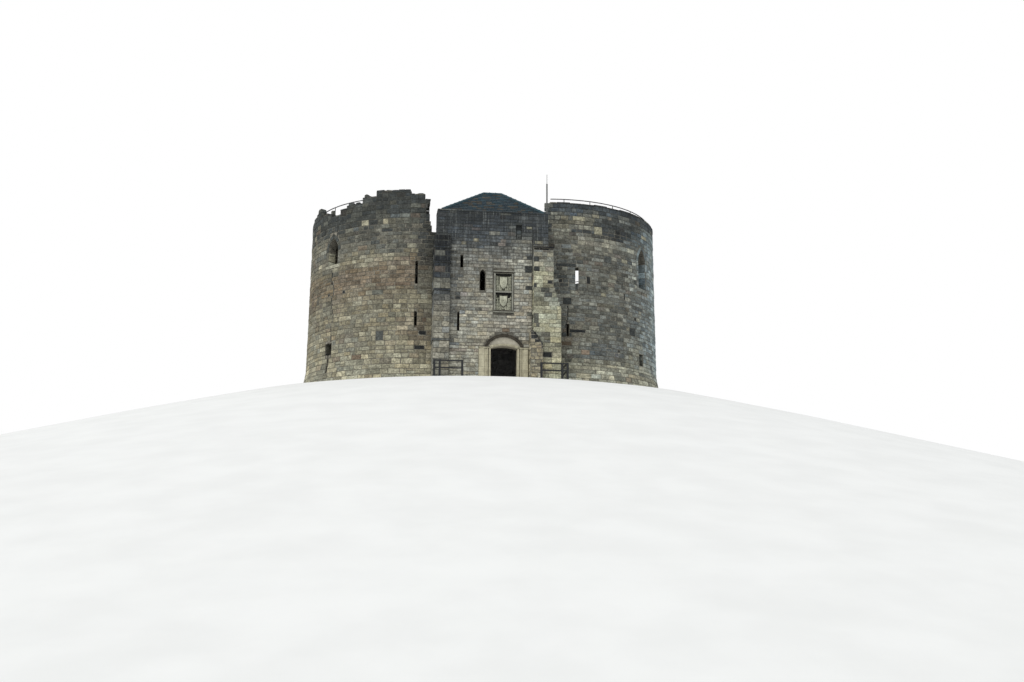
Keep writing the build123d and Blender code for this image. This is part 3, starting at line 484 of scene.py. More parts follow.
# Materials
class Tree:
    """Short names for the nodes of one material."""

    def __init__(self, name):
        self.material = bpy.data.materials.new(name)
        self.material.use_nodes = True
        self.nodes = self.material.node_tree.nodes
        self.links = self.material.node_tree.links
        self.shader = self.nodes["Principled BSDF"]
        self.coords = self.add("ShaderNodeTexCoord", {}).outputs["Object"]

    def fill(self, socket, value):
        """Links a socket to another one, or sets it."""
        if isinstance(value, bpy.types.NodeSocket):
            self.links.new(value, socket)
        else:
            socket.default_value = (*value, 1) if isinstance(value, tuple) else value

    def add(self, kind, inputs, **settings):
        node = self.nodes.new(kind)
        for name, value in settings.items():
            setattr(node, name, value)
        for key, value in inputs.items():
            self.fill(node.inputs[key], value)
        return node

    def stretch(self, *scale):
        mapping = self.add("ShaderNodeMapping", {"Vector": self.coords})
        mapping.inputs["Scale"].default_value = scale
        return mapping.outputs["Vector"]

    def height(self):
        return self.add("ShaderNodeSeparateXYZ", {0: self.coords}).outputs["Z"]

    def stone(self):
        """What each stone carries: its colour, and in alpha how clean it is."""
        return self.add("ShaderNodeAttribute", {}, attribute_name="stone").outputs

    def noise(self, scale, detail=6, rough=0.6, vector=None):
        inputs = {"Scale": scale, "Detail": detail, "Roughness": rough, "Vector": vector or self.coords}
        return self.add("ShaderNodeTexNoise", inputs).outputs["Fac"]

    def cells(self, scale, feature="F1", vector=None, output="Distance"):
        inputs = {"Scale": scale, "Vector": vector or self.coords}
        return self.add("ShaderNodeTexVoronoi", inputs, feature=feature).outputs[output]

    def span(self, value, low, high, to_low=0.0, to_high=1.0):
        inputs = {"Value": value, "From Min": low, "From Max": high, "To Min": to_low, "To Max": to_high}
        return self.add("ShaderNodeMapRange", inputs, interpolation_type="SMOOTHSTEP").outputs["Result"]

    def mix(self, factor, first, second, blend="MIX"):
        inputs = {0: factor, 6: first, 7: second}
        return self.add("ShaderNodeMix", inputs, data_type="RGBA", blend_type=blend).outputs[2]

    def stain(self, colour, pattern, low, high, share, tint):
        """Lays a tint over a colour where a pattern is strong."""
        return self.mix(self.span(pattern, low, high, 0.0, share), colour, tint)

    def maths(self, first, second, operation="MULTIPLY"):
        return self.add("ShaderNodeMath", {0: first, 1: second}, operation=operation).outputs[0]

    def bump(self, height, distance, strength=1.0, normal=None):
        inputs = {"Strength": strength, "Distance": distance, "Height": height}
        if normal:
            inputs["Normal"] = normal
        return self.add("ShaderNodeBump", inputs).outputs["Normal"]

    def finish(self, colour, roughness, normal, metallic=0.0, specular=0.3):
        for name, value in (("Base Color", colour), ("Normal", normal), ("Roughness", roughness),
                            ("Metallic", metallic), ("Specular IOR Level", specular)):
            self.fill(self.shader.inputs[name], value)
        return self.material


def weathered_blocks(name, streaks=0.3, grain=1.0, lichen=0.2, sooted=(10.6, 12.1), soot=0.45, lime=0.0):
    """Cut stone: its own colour, blotches, grain, pits, rain streaks, soot near the top, worn edges."""
    tree = Tree(name)
    stone, height = tree.stone(), tree.height()
    blotch = tree.span(tree.noise(4.5, 8, 0.65), 0.34, 0.66, 0.78, 1.22)
    mottle = tree.span(tree.noise(11, 8, 0.72), 0.36, 0.64, 0.62, 1.36)
    fine = tree.span(tree.noise(38, 8, 0.75), 0.3, 0.7, 0.86, 1.14)
    bedding = tree.span(tree.noise(1.0, 6, 0.7, tree.stretch(2.5, 2.5, 16)), 0.36, 0.6, 0.8, 1.1)
    worn = tree.maths(tree.maths(blotch, mottle), tree.maths(fine, bedding))
    colour = tree.mix(1.0, stone["Color"], worn, "MULTIPLY")
    colour = tree.stain(colour, tree.noise(7.5, 9, 0.78), 0.58, 0.7, lichen, rgb(170, 170, 150))
    colour = tree.stain(colour, tree.noise(16, 6, 0.7), 0.58, 0.68, 0.5, rgb(62, 61, 55))
    rain = tree.noise(1.0, 7, 0.75, tree.stretch(7.5, 7.5, 0.32))
    wet = tree.maths(tree.span(rain, 0.47, 0.66), tree.span(height, 3.5, 8.5, 0.25, 1.0))
    colour = tree.mix(tree.maths(wet, streaks), colour, rgb(50, 53, 53))
    runs = tree.span(tree.noise(1.0, 7, 0.75, tree.stretch(13.0, 13.0, 0.6)), 0.54, 0.64, 0.0, lime)
    limed = tree.maths(runs, tree.span(height, 4.5, 7.5, 0.3, 1.0))
    colour = tree.mix(limed, colour, rgb(132, 135, 132))
    ragged = tree.maths(tree.noise(1.0, 6, 0.7, tree.stretch(0.9, 0.9, 0.5)), 3.0)
    colour = tree.stain(colour, tree.maths(height, ragged, "ADD"), *sooted, soot, rgb(48, 52, 54))
    colour = tree.mix(tree.span(stone["Alpha"], 0.1, 0.95, 0.2, 0.0), colour, rgb(62, 60, 54))
    normal = tree.bump(tree.span(tree.cells(34), 0.0, 0.32), 0.004 * grain, 0.6)
    normal = tree.bump(tree.noise(26, 10, 0.72), 0.01 * grain, 0.8, normal)
    normal = tree.bump(tree.noise(6, 6, 0.6), 0.025, 0.7, normal)
    return tree.finish(colour, 0.92, normal, specular=0.2)


def rubble(name, light, dark, mortar, sooted=None):
    """Backing masonry seen in joints, reveals and vaults: flat-bedded stones in mortar."""
    tree = Tree(name)
    bed = tree.stretch(1.0, 1.0, 1.7)
    shade = tree.add("ShaderNodeSeparateColor", {"Color": tree.cells(2.6, "F1", bed, "Color")})
    blotch = tree.span(tree.noise(5, 8, 0.7), 0.3, 0.7, 0.72, 1.15)
    colour = tree.mix(1.0, tree.mix(shade.outputs["Red"], dark, light), blotch, "MULTIPLY")
    joint = tree.cells(2.6, "DISTANCE_TO_EDGE", bed)
    colour = tree.mix(tree.span(joint, 0.015, 0.05, 1.0, 0.0), colour, mortar)
    if sooted:
        colour = tree.stain(colour, tree.height(), *sooted, 0.9, rgb(56, 60, 60))
    normal = tree.bump(tree.span(joint, 0.0, 0.09), 0.02, 0.9)
    normal = tree.bump(tree.noise(30, 9, 0.7), 0.012, 0.8, normal)
    return tree.finish(colour, 0.95, normal, specular=0.15)


def slates(name):
    tree = Tree(name)
    blotch = tree.span(tree.noise(4, 8, 0.7), 0.3, 0.7, 0.75, 1.2)
    colour = tree.mix(1.0, tree.stone()["Color"], blotch, "MULTIPLY")
    moss = tree.noise(5.5, 9, 0.75)
    colour = tree.stain(colour, moss, 0.56, 0.66, 0.5, rgb(56, 64, 52))
    colour = tree.stain(colour, tree.noise(19, 7, 0.7), 0.63, 0.7, 0.4, rgb(112, 118, 110))
    normal = tree.bump(tree.noise(9, 8, 0.65, tree.stretch(1.0, 1.0, 3.0)), 0.008, 0.8)
    normal = tree.bump(tree.span(moss, 0.56, 0.7), 0.012, 0.7, normal)
    return tree.finish(colour, tree.span(moss, 0.5, 0.66, 0.7, 0.95), normal, specular=0.22)


def metal(name, colour, worn, metallic, roughness):
    tree = Tree(name)
    patches = tree.noise(14, 8, 0.75)
    mixed = tree.stain(colour, patches, 0.5, 0.68, 0.8, worn)
    normal = tree.bump(tree.noise(120, 6, 0.6), 0.0015, 0.7)
    rough = tree.span(patches, 0.4, 0.7, roughness, min(roughness + 0.3, 1))
    return tree.finish(mixed, rough, normal, metallic=metallic, specular=0.4)


def carved(name, light, dark, hollow):
    """Smooth carved stone, with painted shade in its hollows."""
    tree = Tree(name)
    colour = tree.mix(tree.span(tree.noise(4.5, 9, 0.72), 0.34, 0.68), dark, light)
    fine = tree.span(tree.noise(45, 8, 0.75), 0.3, 0.7, 0.82, 1.12)
    colour = tree.mix(1.0, colour, fine, "MULTIPLY")
    # Ambient occlusion darkens the hollows towards the hollow colour: painted shade.
    painted_shade = tree.add("ShaderNodeAmbientOcclusion", {"Distance": 0.09}, samples=6)
    colour = tree.mix(tree.span(painted_shade.outputs["AO"], 0.35, 0.85, 0.75, 0.0), colour, hollow)
    colour = tree.stain(colour, tree.noise(12, 8, 0.75), 0.6, 0.72, 0.4, rgb(128, 130, 96))
    normal = tree.bump(tree.noise(55, 9, 0.7), 0.005, 0.7)
    normal = tree.bump(tree.noise(8, 6, 0.6), 0.014, 0.5, normal)
    return tree.finish(colour, 0.88, normal, specular=0.25)


SOOTED = dict(grain=0.8, lichen=0.2, sooted=(8.1, 10.9), soot=0.4)
WALL_STONE = weathered_blocks("weathered_limestone")
GATE_STONE = weathered_blocks("sooted_gatehouse_stone", streaks=0.85, lime=0.75, **SOOTED)
PILASTER_STONE = weathered_blocks("sooted_dressed_stone", streaks=0.8, lime=0.3, **SOOTED)
DRESSED = weathered_blocks("dressed_pale_stone", streaks=0.3, grain=0.6, lichen=0.4)
FLAGS = weathered_blocks("worn_paving", streaks=0.0, grain=0.7, lichen=0.3, soot=0.0)
BACKING = rubble("rubble_backing", rgb(140, 136, 124), rgb(104, 101, 93), rgb(98, 95, 86))
SOOTY = rubble("sooty_rubble", rgb(96, 97, 91), rgb(64, 65, 62), rgb(68, 68, 64))
GATE_BACKING = rubble("gatehouse_backing", rgb(124, 121, 111), rgb(92, 90, 83), rgb(90, 87, 79), (6.0, 8.0))
HALL = rubble("unlit_hall_masonry", rgb(162, 160, 158), rgb(130, 129, 129), rgb(134, 132, 131))
SLATES = slates("mossy_slate")
RIDGE = metal("clay_ridge_tile", rgb(45, 67, 75), rgb(58, 80, 85), 0.0, 0.85)
PAINTED = metal("weathered_steel_paint", rgb(28, 31, 33), rgb(52, 50, 46), 0.1, 0.5)
BARE = metal("dull_metal", rgb(92, 94, 92), rgb(70, 66, 60), 0.75, 0.45)
# The last colour of each carved stone is the painted shade in its hollows.
CASING = carved("fluted_casing_stone", rgb(200, 194, 168), rgb(164, 158, 136), rgb(78, 74, 62))
TYMPANUM = carved("smooth_cream_stone", rgb(188, 182, 166), rgb(164, 158, 142), rgb(78, 74, 66))
HOOD = carved("dark_hood_stone", rgb(76, 70, 60), rgb(42, 40, 35), rgb(28, 27, 25))
# Near-black stone for the strips and patches of painted shadow on the panels.
PAINTED_SHADOW_STONE = carved("painted_shadow_black", rgb(34, 34, 32), rgb(16, 17, 16), rgb(10, 10, 10))
PANEL = carved("lichened_carving", rgb(204, 204, 182), rgb(156, 157, 140), rgb(48, 49, 43))
GROUND = carved("shadowed_carving_ground", rgb(126, 126, 108), rgb(84, 85, 75), rgb(32, 33, 30))
FRAME = carved("weathered_frame", rgb(150, 149, 137), rgb(116, 116, 108), rgb(48, 47, 44))


# The lobes. Runs of the broken parapet: bearings, share of its height that still stands
LEFT_RUNS = [
    (-82, -33, 0.8), (-33, -27.5, 0.92), (-27.5, -20.5, 1.0), (-20.5, -12.8, 0.72), (-12.8, -9.3, 0.66),
    (-9.3, -2.2, 0.48), (-2.2, 2.2, 0.7), (2.2, 12.1, 0.81), (12.1, 19.8, 1.06), (19.8, 37.3, 1.28),
    (37.3, 44.5, 1.1), (44.5, 47.2, 0.87),
]
# Gap at the ragged end of that parapet: height, width
RAGGED_END = [(8.15, 0.23), (8.45, 0.29), (8.73, 0.35), (9.11, 0.545), (9.5, 0.45), (9.7, 0.34)]
# Bearing where a lobe's face meets a turret, and how much further it runs above the turret
TURRET_EDGE, EDGE_GAIN = 73.4, 8.6


def pier_side(height):
    """Right edge of the pier, with the raking head of its foot."""
    if height > PIER_TOP:
        return GATE_R
    rake = min(1, max(0, (height - PIER_FOOT_TOP) / (RAKE_TOP - PIER_FOOT_TOP)))
    return PIER_FOOT_R + (PIER_R - PIER_FOOT_R) * rake


def meeting_x(lobe, height):
    """Where a front lobe's face runs into the gatehouse."""
    if lobe == "front_right":
        return pier_side(height)
    gap = 0
    for foot, width in RAGGED_END:
        if height > foot:
            gap = width
    return PIL_L if height < PIL_TOP else GATE_L - gap


def lobe_span(lobe):
    sx = SIGN[lobe][0]

    def ends(height):
        clear = TURRET_EDGE + EDGE_GAIN * min(1, max(0, (height - TURRET_TOP) / 0.5))
        low, high = -clear, clear
        if lobe.startswith("front"):
            lean = math.degrees(math.asin((meeting_x(lobe, height) - sx * OFFSET) / wall_radius(height)))
            low, high = (low, 45 + lean) if sx < 0 else (-45 + lean, high)
        return arc(low), arc(high)

    return ends


def line_reveal(work, place, u, half, sill, head, tones):
    """Stones on both cheeks of a window."""
    deep, edge = 0.24, 0.23
    for side in (-1, 1):
        cheek = lambda s, v, d: place(u + side * (half - d), v, side * s - deep)
        work.wall(cheek, (-edge, edge), sill, head, tones, (0.26, 0.4), (0.46, 0.5), proud=0.01)


def pointed_dressing(work, place, u, width, sill, head, tones):
    """Jamb stones, arch stones and sill of a pointed window."""
    springing = head - width * ARCH_RISE
    half, reach, steps = width / 2, width + DRESSING, 4
    lining = ("mist", 1.35) if tones is RIGHT_TONES else ("bone", 0.92)
    line_reveal(work, place, u, half, sill, springing, [(0, *lining)])
    for side in (-1, 1):
        arch = lambda r, t: (u + side * (r * math.cos(t) - half), springing + r * math.sin(t))
        for v0, v1 in beds(work.rng, sill, springing, (0.26, 0.4)):
            a, b = sorted((u + side * half, u + side * (half + DRESSING)))
            work.stone(place, a, b, v0, v1, work.tone(tones, u, v0 + 0.3), proud=0.014, ragged=0.006)
        for i in range(steps):
            angles = [math.radians(60 * (i + part) / steps) for part in (0.012, 0.5, 0.988)]
            inner = [arch(width + 0.004, t) for t in angles]
            outer = [arch(reach, t) for t in angles]
            outline = outer + inner[::-1] if side > 0 else inner + outer[::-1]
            work.poly(place, outline, 0.016, work.tone(tones, u, head), chamfer=0.01)
    top, up, wide = springing + width * ARCH_RISE, reach * ARCH_RISE + springing, reach * 0.5 - half
    key = [(u, top + 0.01), (u + wide - 0.006, up), (u, up + 0.1), (u - wide + 0.006, up)]
    work.poly(place, key, 0.016, work.tone(tones, u, head), chamfer=0.01)
    work.stone(place, u - half - DRESSING, u + half + DRESSING, sill - DRESSING, sill - 0.005,
               work.tone(tones, u, sill), proud=0.03, ragged=0.006)


# Stained patches and single stones of the lobes: bearings, heights, stone
LOBE_STAINS = {
    "front_left": [
        (-30, -3, 8.9, 10.3, "soot", 0.3), (-82, -30, 9.1, 10.3, "soot", 0.25),
        (5, 20, 7.7, 9.3, "soot", 0.6), (-8, 10, 9.2, 9.9, "coal", 0.55), (14, 36, 6.9, 7.6, "slate", 0.5),
        (22, 44, 8.4, 9.0, "cream", 0.2), (38, 48, 2.3, 3.9, "rust", 0.5),
        (-40, -8, 7.6, 8.3, "cream", 0.3), (-45, -10, 1.2, 2.8, "cream", 0.35),
        (-40, -8, 2.8, 4.2, "drab", 0.3), (12, 47, 9.5, 10.6, "coal", 0.45),
        (28, 45, 7.5, 8.1, "slate", 0.3), (8, 28, 6.4, 7.2, "cream", 0.3), (-3, 18, 4.5, 6.2, "warm", 0.4),
        (18, 41, 5.2, 6.7, "warm", 0.35), (2, 42, 3.7, 4.8, "sand", 0.5), (42, 50, 6.3, 9.2, "soot", 0.8),
        (41.5, 50, 4.6, 6.2, "drab", 0.7), (40, 46, 1.8, 3.1, "rust", 0.5),
        (-12, -5, 0.3, 1.4, "slate", 0.5), (33, 38, 2.6, 3.2, "warm", 0.4), (2, 14, 1.9, 3.2, "ash", 0.5),
        (-40, -8, 4.2, 4.9, "drab", 0.2),
    ],
    "front_right": [
        (-52, 88, 9.75, 10.2, "coal", 0.5), (-33, 7, 8.25, 9.2, "soot", 0.75),
        (-32, 5, 9.2, 9.75, "ash", 0.5), (-2, 18, 8.0, 8.9, "soot", 0.45),
        (-52, -42, 8.2, 9.5, "sand", 0.8), (-40, -29, 8.6, 9.6, "sand", 0.5),
        (-9, 72, 1.0, 9.0, "mist", 0.15), (-46, -30, 2.2, 3.2, "cream", 0.3),
        (-14, 0, 1.7, 2.6, "cream", 0.5), (-52, -40, 5.1, 6.9, "slate", 0.6),
        (-48, -40, 2.2, 3.2, "rust", 0.55), (-34, -11, 1.8, 2.5, "blue", 0.55),
        (-38, -10, 2.5, 6.5, "drab", 0.3), (-40, -20, 7.4, 8.3, "sand", 0.35),
        (-30, 5, 7.6, 8.2, "sand", 0.3), (-20, 12, 3.9, 5.2, "ash", 0.4), (13, 42, 1.0, 9.6, "mist", 0.35),
        (2, 54, 1.2, 9.6, "mist", 0.28), (-50, 30, 0.8, 1.5, "cream", 0.4),
    ],
}
LOBE_MARKS = {
    "front_left": [
        (21.8, 25.6, 2.38, 2.8, "slate"), (30.5, 38.5, 5.12, 5.3, "rust"), (19.2, 24.9, 4.86, 5.1, "drab"),
        (12, 16, 8.5, 8.7, "cream"), (30, 34, 3.9, 4.05, "cream"), (42.5, 46.3, 2.5, 2.9, "coal"),
        (44.0, 46.2, 3.35, 3.6, "rust"), (40.5, 45.6, 1.85, 2.15, "coal"), (23.2, 28.8, 8.2, 8.45, "soot"),
        (-9.5, -7.9, 5.0, 5.2, "coal"), (1.5, 3.4, 5.0, 5.25, "coal"), (26.5, 29.8, 2.2, 2.4, "cream"),
        (9, 14.5, 1.35, 1.55, "rust"),
    ],
    "front_right": [
        (-34.6, -32.4, 5.74, 6.03, "coal"), (-4.6, -2.6, 3.95, 4.14, "coal"),
        (-12.3, -11.3, 4.98, 5.36, "coal"), (-50, -39.8, 6.6, 6.8, "soot"),
        (-46.5, -42.2, 4.47, 4.78, "soot"), (-44.2, -35.2, 2.9, 3.12, "coal"),
        (-47.6, -42.2, 2.62, 2.82, "soot"), (-47.5, -42.3, 2.2, 2.42, "rust"),
        (-21.5, -16.8, 3.46, 3.68, "slate"), (-37.6, -33.2, 1.9, 2.15, "warm"),
        (-26.6, -23.6, 5.1, 5.3, "cream"), (-8.5, -4, 3.15, 3.5, "soot"), (-24.6, -20, 6.85, 7.25, "slate"),
        (-17, -15.5, 2.15, 2.35, "coal"), (-30, -25.5, 8.5, 8.8, "cream"),
        (-48.6, -46.6, 5.62, 5.9, "coal"), (-41.5, -35, 9.15, 9.45, "cream"), (4.2, 10, 8.9, 9.15, "cream"),
    ],
}
# Ragged upright cracks: bearing, foot, head, width, how far they wander
CRACKS = {
    "front_left": [(-3.8, 8.3, 9.5, 0.06, 0.05), (-5.6, 4.8, 6.75, 0.06, 0.22), (-5.2, 2.5, 4.8, 0.05, 0.25)],
    "front_right": [(-44.6, 3.2, 4.4, 0.05, 0.1), (3, 5.4, 5.95, 0.03, 0.05)],
}


def crack_line(bearing, wander, height):
    drift = noise.noise(Vector((height * 1.3, bearing, 0)))
    drift += 0.5 * noise.noise(Vector((height * 6, bearing, 5)))
    return arc(bearing) + wander * drift


def in_arc(rows):
    return [(arc(row[0]), arc(row[1]), *row[2:]) for row in rows]


def outer_face(lobe, seed):
    left = lobe.endswith("left")
    tones = LEFT_TONES if left else RIGHT_TONES
    look = {} if left else dict(spread=0.27, odd=0.28, tint=RIGHT_TINT)
    stains, marks = in_arc(LOBE_STAINS.get(lobe, [])), in_arc(LOBE_MARKS.get(lobe, []))
    work = Masonry("facing_" + lobe, seed, stains, marks, **look)
    place, span, openings = round_face(lobe), lobe_span(lobe), outer_gaps(lobe)
    cracks = CRACKS.get(lobe, [])

    def gaps(v0, v1):
        found = openings(v0, v1)
        for bearing, foot, head, width, wander in cracks:
            if foot < (v0 + v1) / 2 < head:
                u = crack_line(bearing, wander, v0)
                found.append((u - width / 2, u + width / 2))
        return found

    top = WALK if lobe == "front_left" else WALK + PARAPET
    work.wall(place, span, 0, BATTER, tones, (0.2, 0.3), (0.35, 0.8), gaps, split=0.15)
    work.wall(place, span, BATTER, top, tones, (0.18, 0.27), (0.26, 0.6), gaps, split=0.1)
    for bearing, foot, head, width, wander in cracks:
        for v0, v1 in beds(work.rng, foot, head, (0.1, 0.2)):
            u, half = crack_line(bearing, wander, v0), width * work.rng.uniform(0.3, 0.8)
            outline = [(u - half, v0), (u + half, v0), (u + half, v1), (u - half, v1)]
            work.poly(place, outline, 0.004, STONE["coal"], chamfer=0.003, bulge=0)
    for bearing, width, sill, head, pointed, *_ in OPENINGS[lobe]:
        if pointed:
            pointed_dressing(work, place, arc(bearing), width, sill, head, tones)
        elif width > 0.3:
            # The cheeks of the plain windows are coloured soot dark: painted shade inside the openings.
            line_reveal(work, place, arc(bearing), width / 2, sill, head, [(0, "soot", 0.6)])
    if lobe == "front_left":
        for start, end, share in LEFT_RUNS:
            ends = lambda v: (arc(start), min(arc(end), span(v)[1]))
            work.wall(place, ends, WALK, WALK + PARAPET * share, tones, (0.2, 0.3), (0.3, 0.7), gaps)
    work.finish(WALL_STONE, "limestone")


def parapet_inside(lobe, seed):
    """Inner face of a parapet, its coping, and the broken core of a ruined one."""
    work = Masonry("parapet_" + lobe, seed)
    tones = LEFT_TONES if lobe.endswith("left") else RIGHT_TONES
    worn = lobe == "front_left"
    radius = RADIUS - PARAPET_THICK
    edges = (radius - 0.02, radius + 0.32, RADIUS + 0.03) if worn else (radius - 0.04, RADIUS + 0.05)
    lengths = (0.25, 0.6) if worn else (0.6, 1.0)
    for start, end, share in LEFT_RUNS if worn else [(-53 if lobe == "front_right" else -88, 88, 1.0)]:
        peak = WALK + PARAPET * share
        ends = arc(-end, radius), arc(-start, radius)
        work.wall(hollow_face(lobe, radius), ends, WALK, peak, tones, (0.26, 0.36), (0.4, 0.9))
        for v0, v1 in zip(edges, edges[1:]):
            proud = work.rng.uniform(0.03, 0.08) if worn else 0.05
            work.run(ring_top(lobe, peak), arc(-end), arc(-start), v0, v1, [(0, "soot", 1)], lengths,
                     proud=proud)
        if worn:
            add_rubble(work, lobe, start, end, peak)
    work.finish(WALL_STONE, "limestone")


# Stumps that stand up from the broken parapet: bearing, size, height
STUMPS = [
    (-24.5, 0.2, 0.3), (-22, 0.14, 0.14), (-11, 0.15, 0.26), (-47, 0.22, 0.2), (8.5, 0.16, 0.12),
    (4.2, 0.2, 0.14), (13.6, 0.16, 0.2), (42.5, 0.2, 0.1),
]


def add_rubble(work, lobe, start, end, peak):
    """Broken core on the head of a ruined parapet."""
    rng = work.rng
    point = polar(lobe)
    stumps = [stump for stump in STUMPS if start <= stump[0] < end]
    for _ in range(int((end - start) * 0.5)):
        stumps.append((rng.uniform(start + 1, end - 1), rng.uniform(0.08, 0.17), rng.uniform(0.03, 0.07)))
    for bearing, size, height in stumps:
        inset = 0.2 if height > 0.1 else rng.uniform(0.12, 0.5)
        spot = point(RADIUS - inset, math.radians(bearing), peak + height * 0.4)
        half_sizes = (size, size * rng.uniform(0.7, 1.2), height * 0.6 + 0.04)
        work.lump(spot, half_sizes, rng.choice(("soot", "slate", "drab")))


def walk_paving(lobe, seed):
    work = Masonry("walk_" + lobe, seed)
    edges = (INNER + 0.01, 4.15, 4.85, RADIUS - PARAPET_THICK - 0.01)
    for v0, v1, reach, clear in zip(edges, edges[1:], (118, 104, 92), (66, 62, 62)):
        low = -clear if lobe == "front_right" else -reach
        high = 47 if lobe == "front_left" else reach
        work.run(ring_top(lobe, WALK), arc(-high), arc(-low), v0, v1, FLAG_TONES, (0.7, 1.3), proud=0.012)
    work.finish(FLAGS, "paving")


def inner_face(lobe, seed):
    work = Masonry("court_" + lobe, seed)
    low = -101.5 if lobe == "front_right" else -120
    high = 101.5 if lobe == "front_left" else 120

    def span(height):
        by_arch = lobe == "front_left" and height < 2.6
        return arc(-94 if by_arch else -high, INNER), arc(-low, INNER)

    work.wall(hollow_face(lobe, INNER), span, FLOOR, WALK, COURT_TONES, (0.3, 0.4), (0.45, 0.9),
              inner_gaps(lobe))
    work.finish(WALL_STONE, "limestone")


def add_lobes():
    for i, lobe in enumerate(SIGN):
        outer_face(lobe, 11 + i)
        parapet_inside(lobe, 21 + i)
        walk_paving(lobe, 31 + i)
        inner_face(lobe, 41 + i)


def add_spurs():
    work = Masonry("court_spurs", 51)
    for degrees in (0, 90, 180):
        spot = turned(degrees)
        work.side(spot(SPUR_FACE, SPUR_HALF), spot(SPUR_FACE, -SPUR_HALF), FLOOR, WALK, COURT_TONES,
                  (0.28, 0.4), (0.3, 0.7))
    work.finish(WALL_STONE, "limestone")


def add_turrets():
    cut = TURRET_REACH - TURRET_CHAMFER
    near = [(cut - TURRET_SIDE, -TURRET_HALF), (cut, -TURRET_HALF)]
    near.append((TURRET_REACH, -TURRET_HALF + TURRET_CHAMFER))
    corners = near + [(x, -y) for x, y in near[::-1]]
    for name, degrees in (("right", 0), ("back", 90), ("left", 180)):
        work = Masonry("facing_turret_" + name, 61 + degrees)
        spot = turned(degrees)
        tones = LEFT_TONES if name == "left" else RIGHT_TONES
        for start, end in zip(corners, corners[1:]):
            work.banded(spot(*start), spot(*end), TURRET_TOP, tones, (0.22, 0.34), (0.3, 0.6), proud=0.016)
        work.finish(WALL_STONE, "limestone")


# The gatehouse
def segment_half(width, rise, up):
    """Half the width of a segmental head at a height above its springing."""
    if up < 0:
        return width / 2
    if up > rise:
        return 0
    radius = segment_radius(width, rise)
    return math.sqrt(radius**2 - (up + radius - rise) ** 2)


def segment_radius(width, rise):
    return (width**2 / 4 + rise**2) / (2 * rise)


def stub_top(x):
    """Raking head of the broken wall at the pier's foot."""
    return STUB_TOP - (STUB_TOP - STUB_LOW) * min(1, max(0, (x - STUB_KNEE) / (STUB_R - STUB_KNEE)))


# Stained patches, single stones and openings of the gatehouse front: left, right, foot, head
GATE_STAINS = [
    (-2.55, -1.9, 2.9, 5.6, "slate", 0.4), (-1.9, -1.3, 3.6, 5.2, "slate", 0.25),
    (-2.5, -1.1, 5.5, 7.1, "slate", 0.3), (0.85, 1.8, 1.4, 4.3, "bone", 0.4),
    (1.25, 2.6, 7.9, 8.6, "soot", 0.6), (0.9, 1.8, 1.9, 4.7, "warm", 0.3),
    (0.5, 1.75, 4.8, 6.4, "bone", 0.45), (0.5, 1.75, 6.4, 7.7, "bone", 0.12),
    (0.8, 1.8, 3.0, 4.3, "bone", 0.15), (-2.55, -2.0, 5.4, 9.0, "soot", 0.3),
    (-2.55, -2.1, 3.0, 5.4, "slate", 0.3), (-2.3, 0.9, 2.6, 3.5, "bone", 0.35),
    (0.85, 1.8, 4.3, 6.4, "bone", 0.4), (0.75, 1.7, 7.0, 7.75, "cream", 0.75),
    (0.85, 1.8, 0.6, 3.0, "bone", 0.45), (-0.6, 0.9, 2.5, 3.4, "warm", 0.25),
    (-3.25, -2.5, 7.5, 9.1, "soot", 0.55), (-2.4, 1.5, 8.2, 9.1, "soot", 0.35),
    (1.2, 2.65, 7.1, 9.1, "slate", 0.4), (-2.4, 1.4, 5.9, 7.1, "sand", 0.35),
    (-2.6, -2.1, 1.8, 2.8, "drab", 0.4), (-2.0, -0.9, 1.9, 2.9, "cream", 0.4),
]
GATE_MARKS = [
    (1.47, 1.78, 6.47, 6.66, "soot"), (1.37, 1.78, 5.86, 6.08, "soot"), (1.41, 1.78, 4.84, 5.12, "soot"),
    (1.5, 1.78, 3.45, 3.7, "drab"), (-1.35, -1.05, 7.35, 7.5, "sand"), (-1.95, -1.7, 7.2, 7.35, "sand"),
    (1.45, 1.75, 8.15, 8.35, "cream"), (1.9, 2.3, 7.35, 7.55, "cream"), (-0.45, -0.05, 7.3, 7.4, "soot"),
    (-2.25, -1.95, 4.3, 4.42, "coal"), (0.2, 0.6, 2.6, 2.75, "rust"),
]
CRACK_L, CRACK_R, CRACK_TOP = 1.75, 1.81, 8.2
CASING_HALF, HOOD_GAP = 1.31, (2.08, 0.715)
SLOT_X, SLOT_IN, SLOT_OUT, SLOT_FOOT, SLOT_HEAD = -0.825, 0.145, 0.168, 4.77, 5.7
BLOCKED_L, BLOCKED_R, BLOCKED_DEPTH = 0.9, 1.2, 0.12
GATE_OPENINGS = [
    (DOOR_X - CASING_HALF, DOOR_X + CASING_HALF, 0, IMPOST), (-0.995, -0.655, 4.71, 5.98),
    (-2.1125, -1.9975, 2.62, 3.6), (-1.99, -1.84, 5.95, 6.61),
    (PANEL_X - 0.545, PANEL_X + 0.545, 3.62, 5.83), (0.895, 1.205, 7.63, 8.35),
    (STUB_L, STUB_R, 0, STUB_TOP), (CRACK_L, CRACK_R, STUB_TOP, CRACK_TOP),
]
GATE_LOOK = dict(joint=0.002, ragged=0.008, chamfer=0.012, bed=0.008)
GATE_BLOCKS = (0.15, 0.23), (0.24, 0.55)
CORNICE, GATE_WALL_TOP = EAVES - 0.08, EAVES - 0.2
# How far back the gatehouse's faces go, where a lobe takes them up
LEFT_BACK, RIGHT_BACK, UPPER_RIGHT_FRONT = -10.1, -9.9, -9.3
PIL_BACK, PIER_FOOT_BACK, PIER_BACK = -9.98, -9.97, -9.93


def front_gaps(v0, v1):
    gaps = [(a, b) for a, b, low, high in GATE_OPENINGS if v1 > low + 0.02 and v0 < high - 0.02]
    half = segment_half(*HOOD_GAP, v0 - IMPOST) if v0 >= IMPOST - 0.02 else 0
    if half:
        gaps.append((DOOR_X - half, DOOR_X + half))
    return gaps


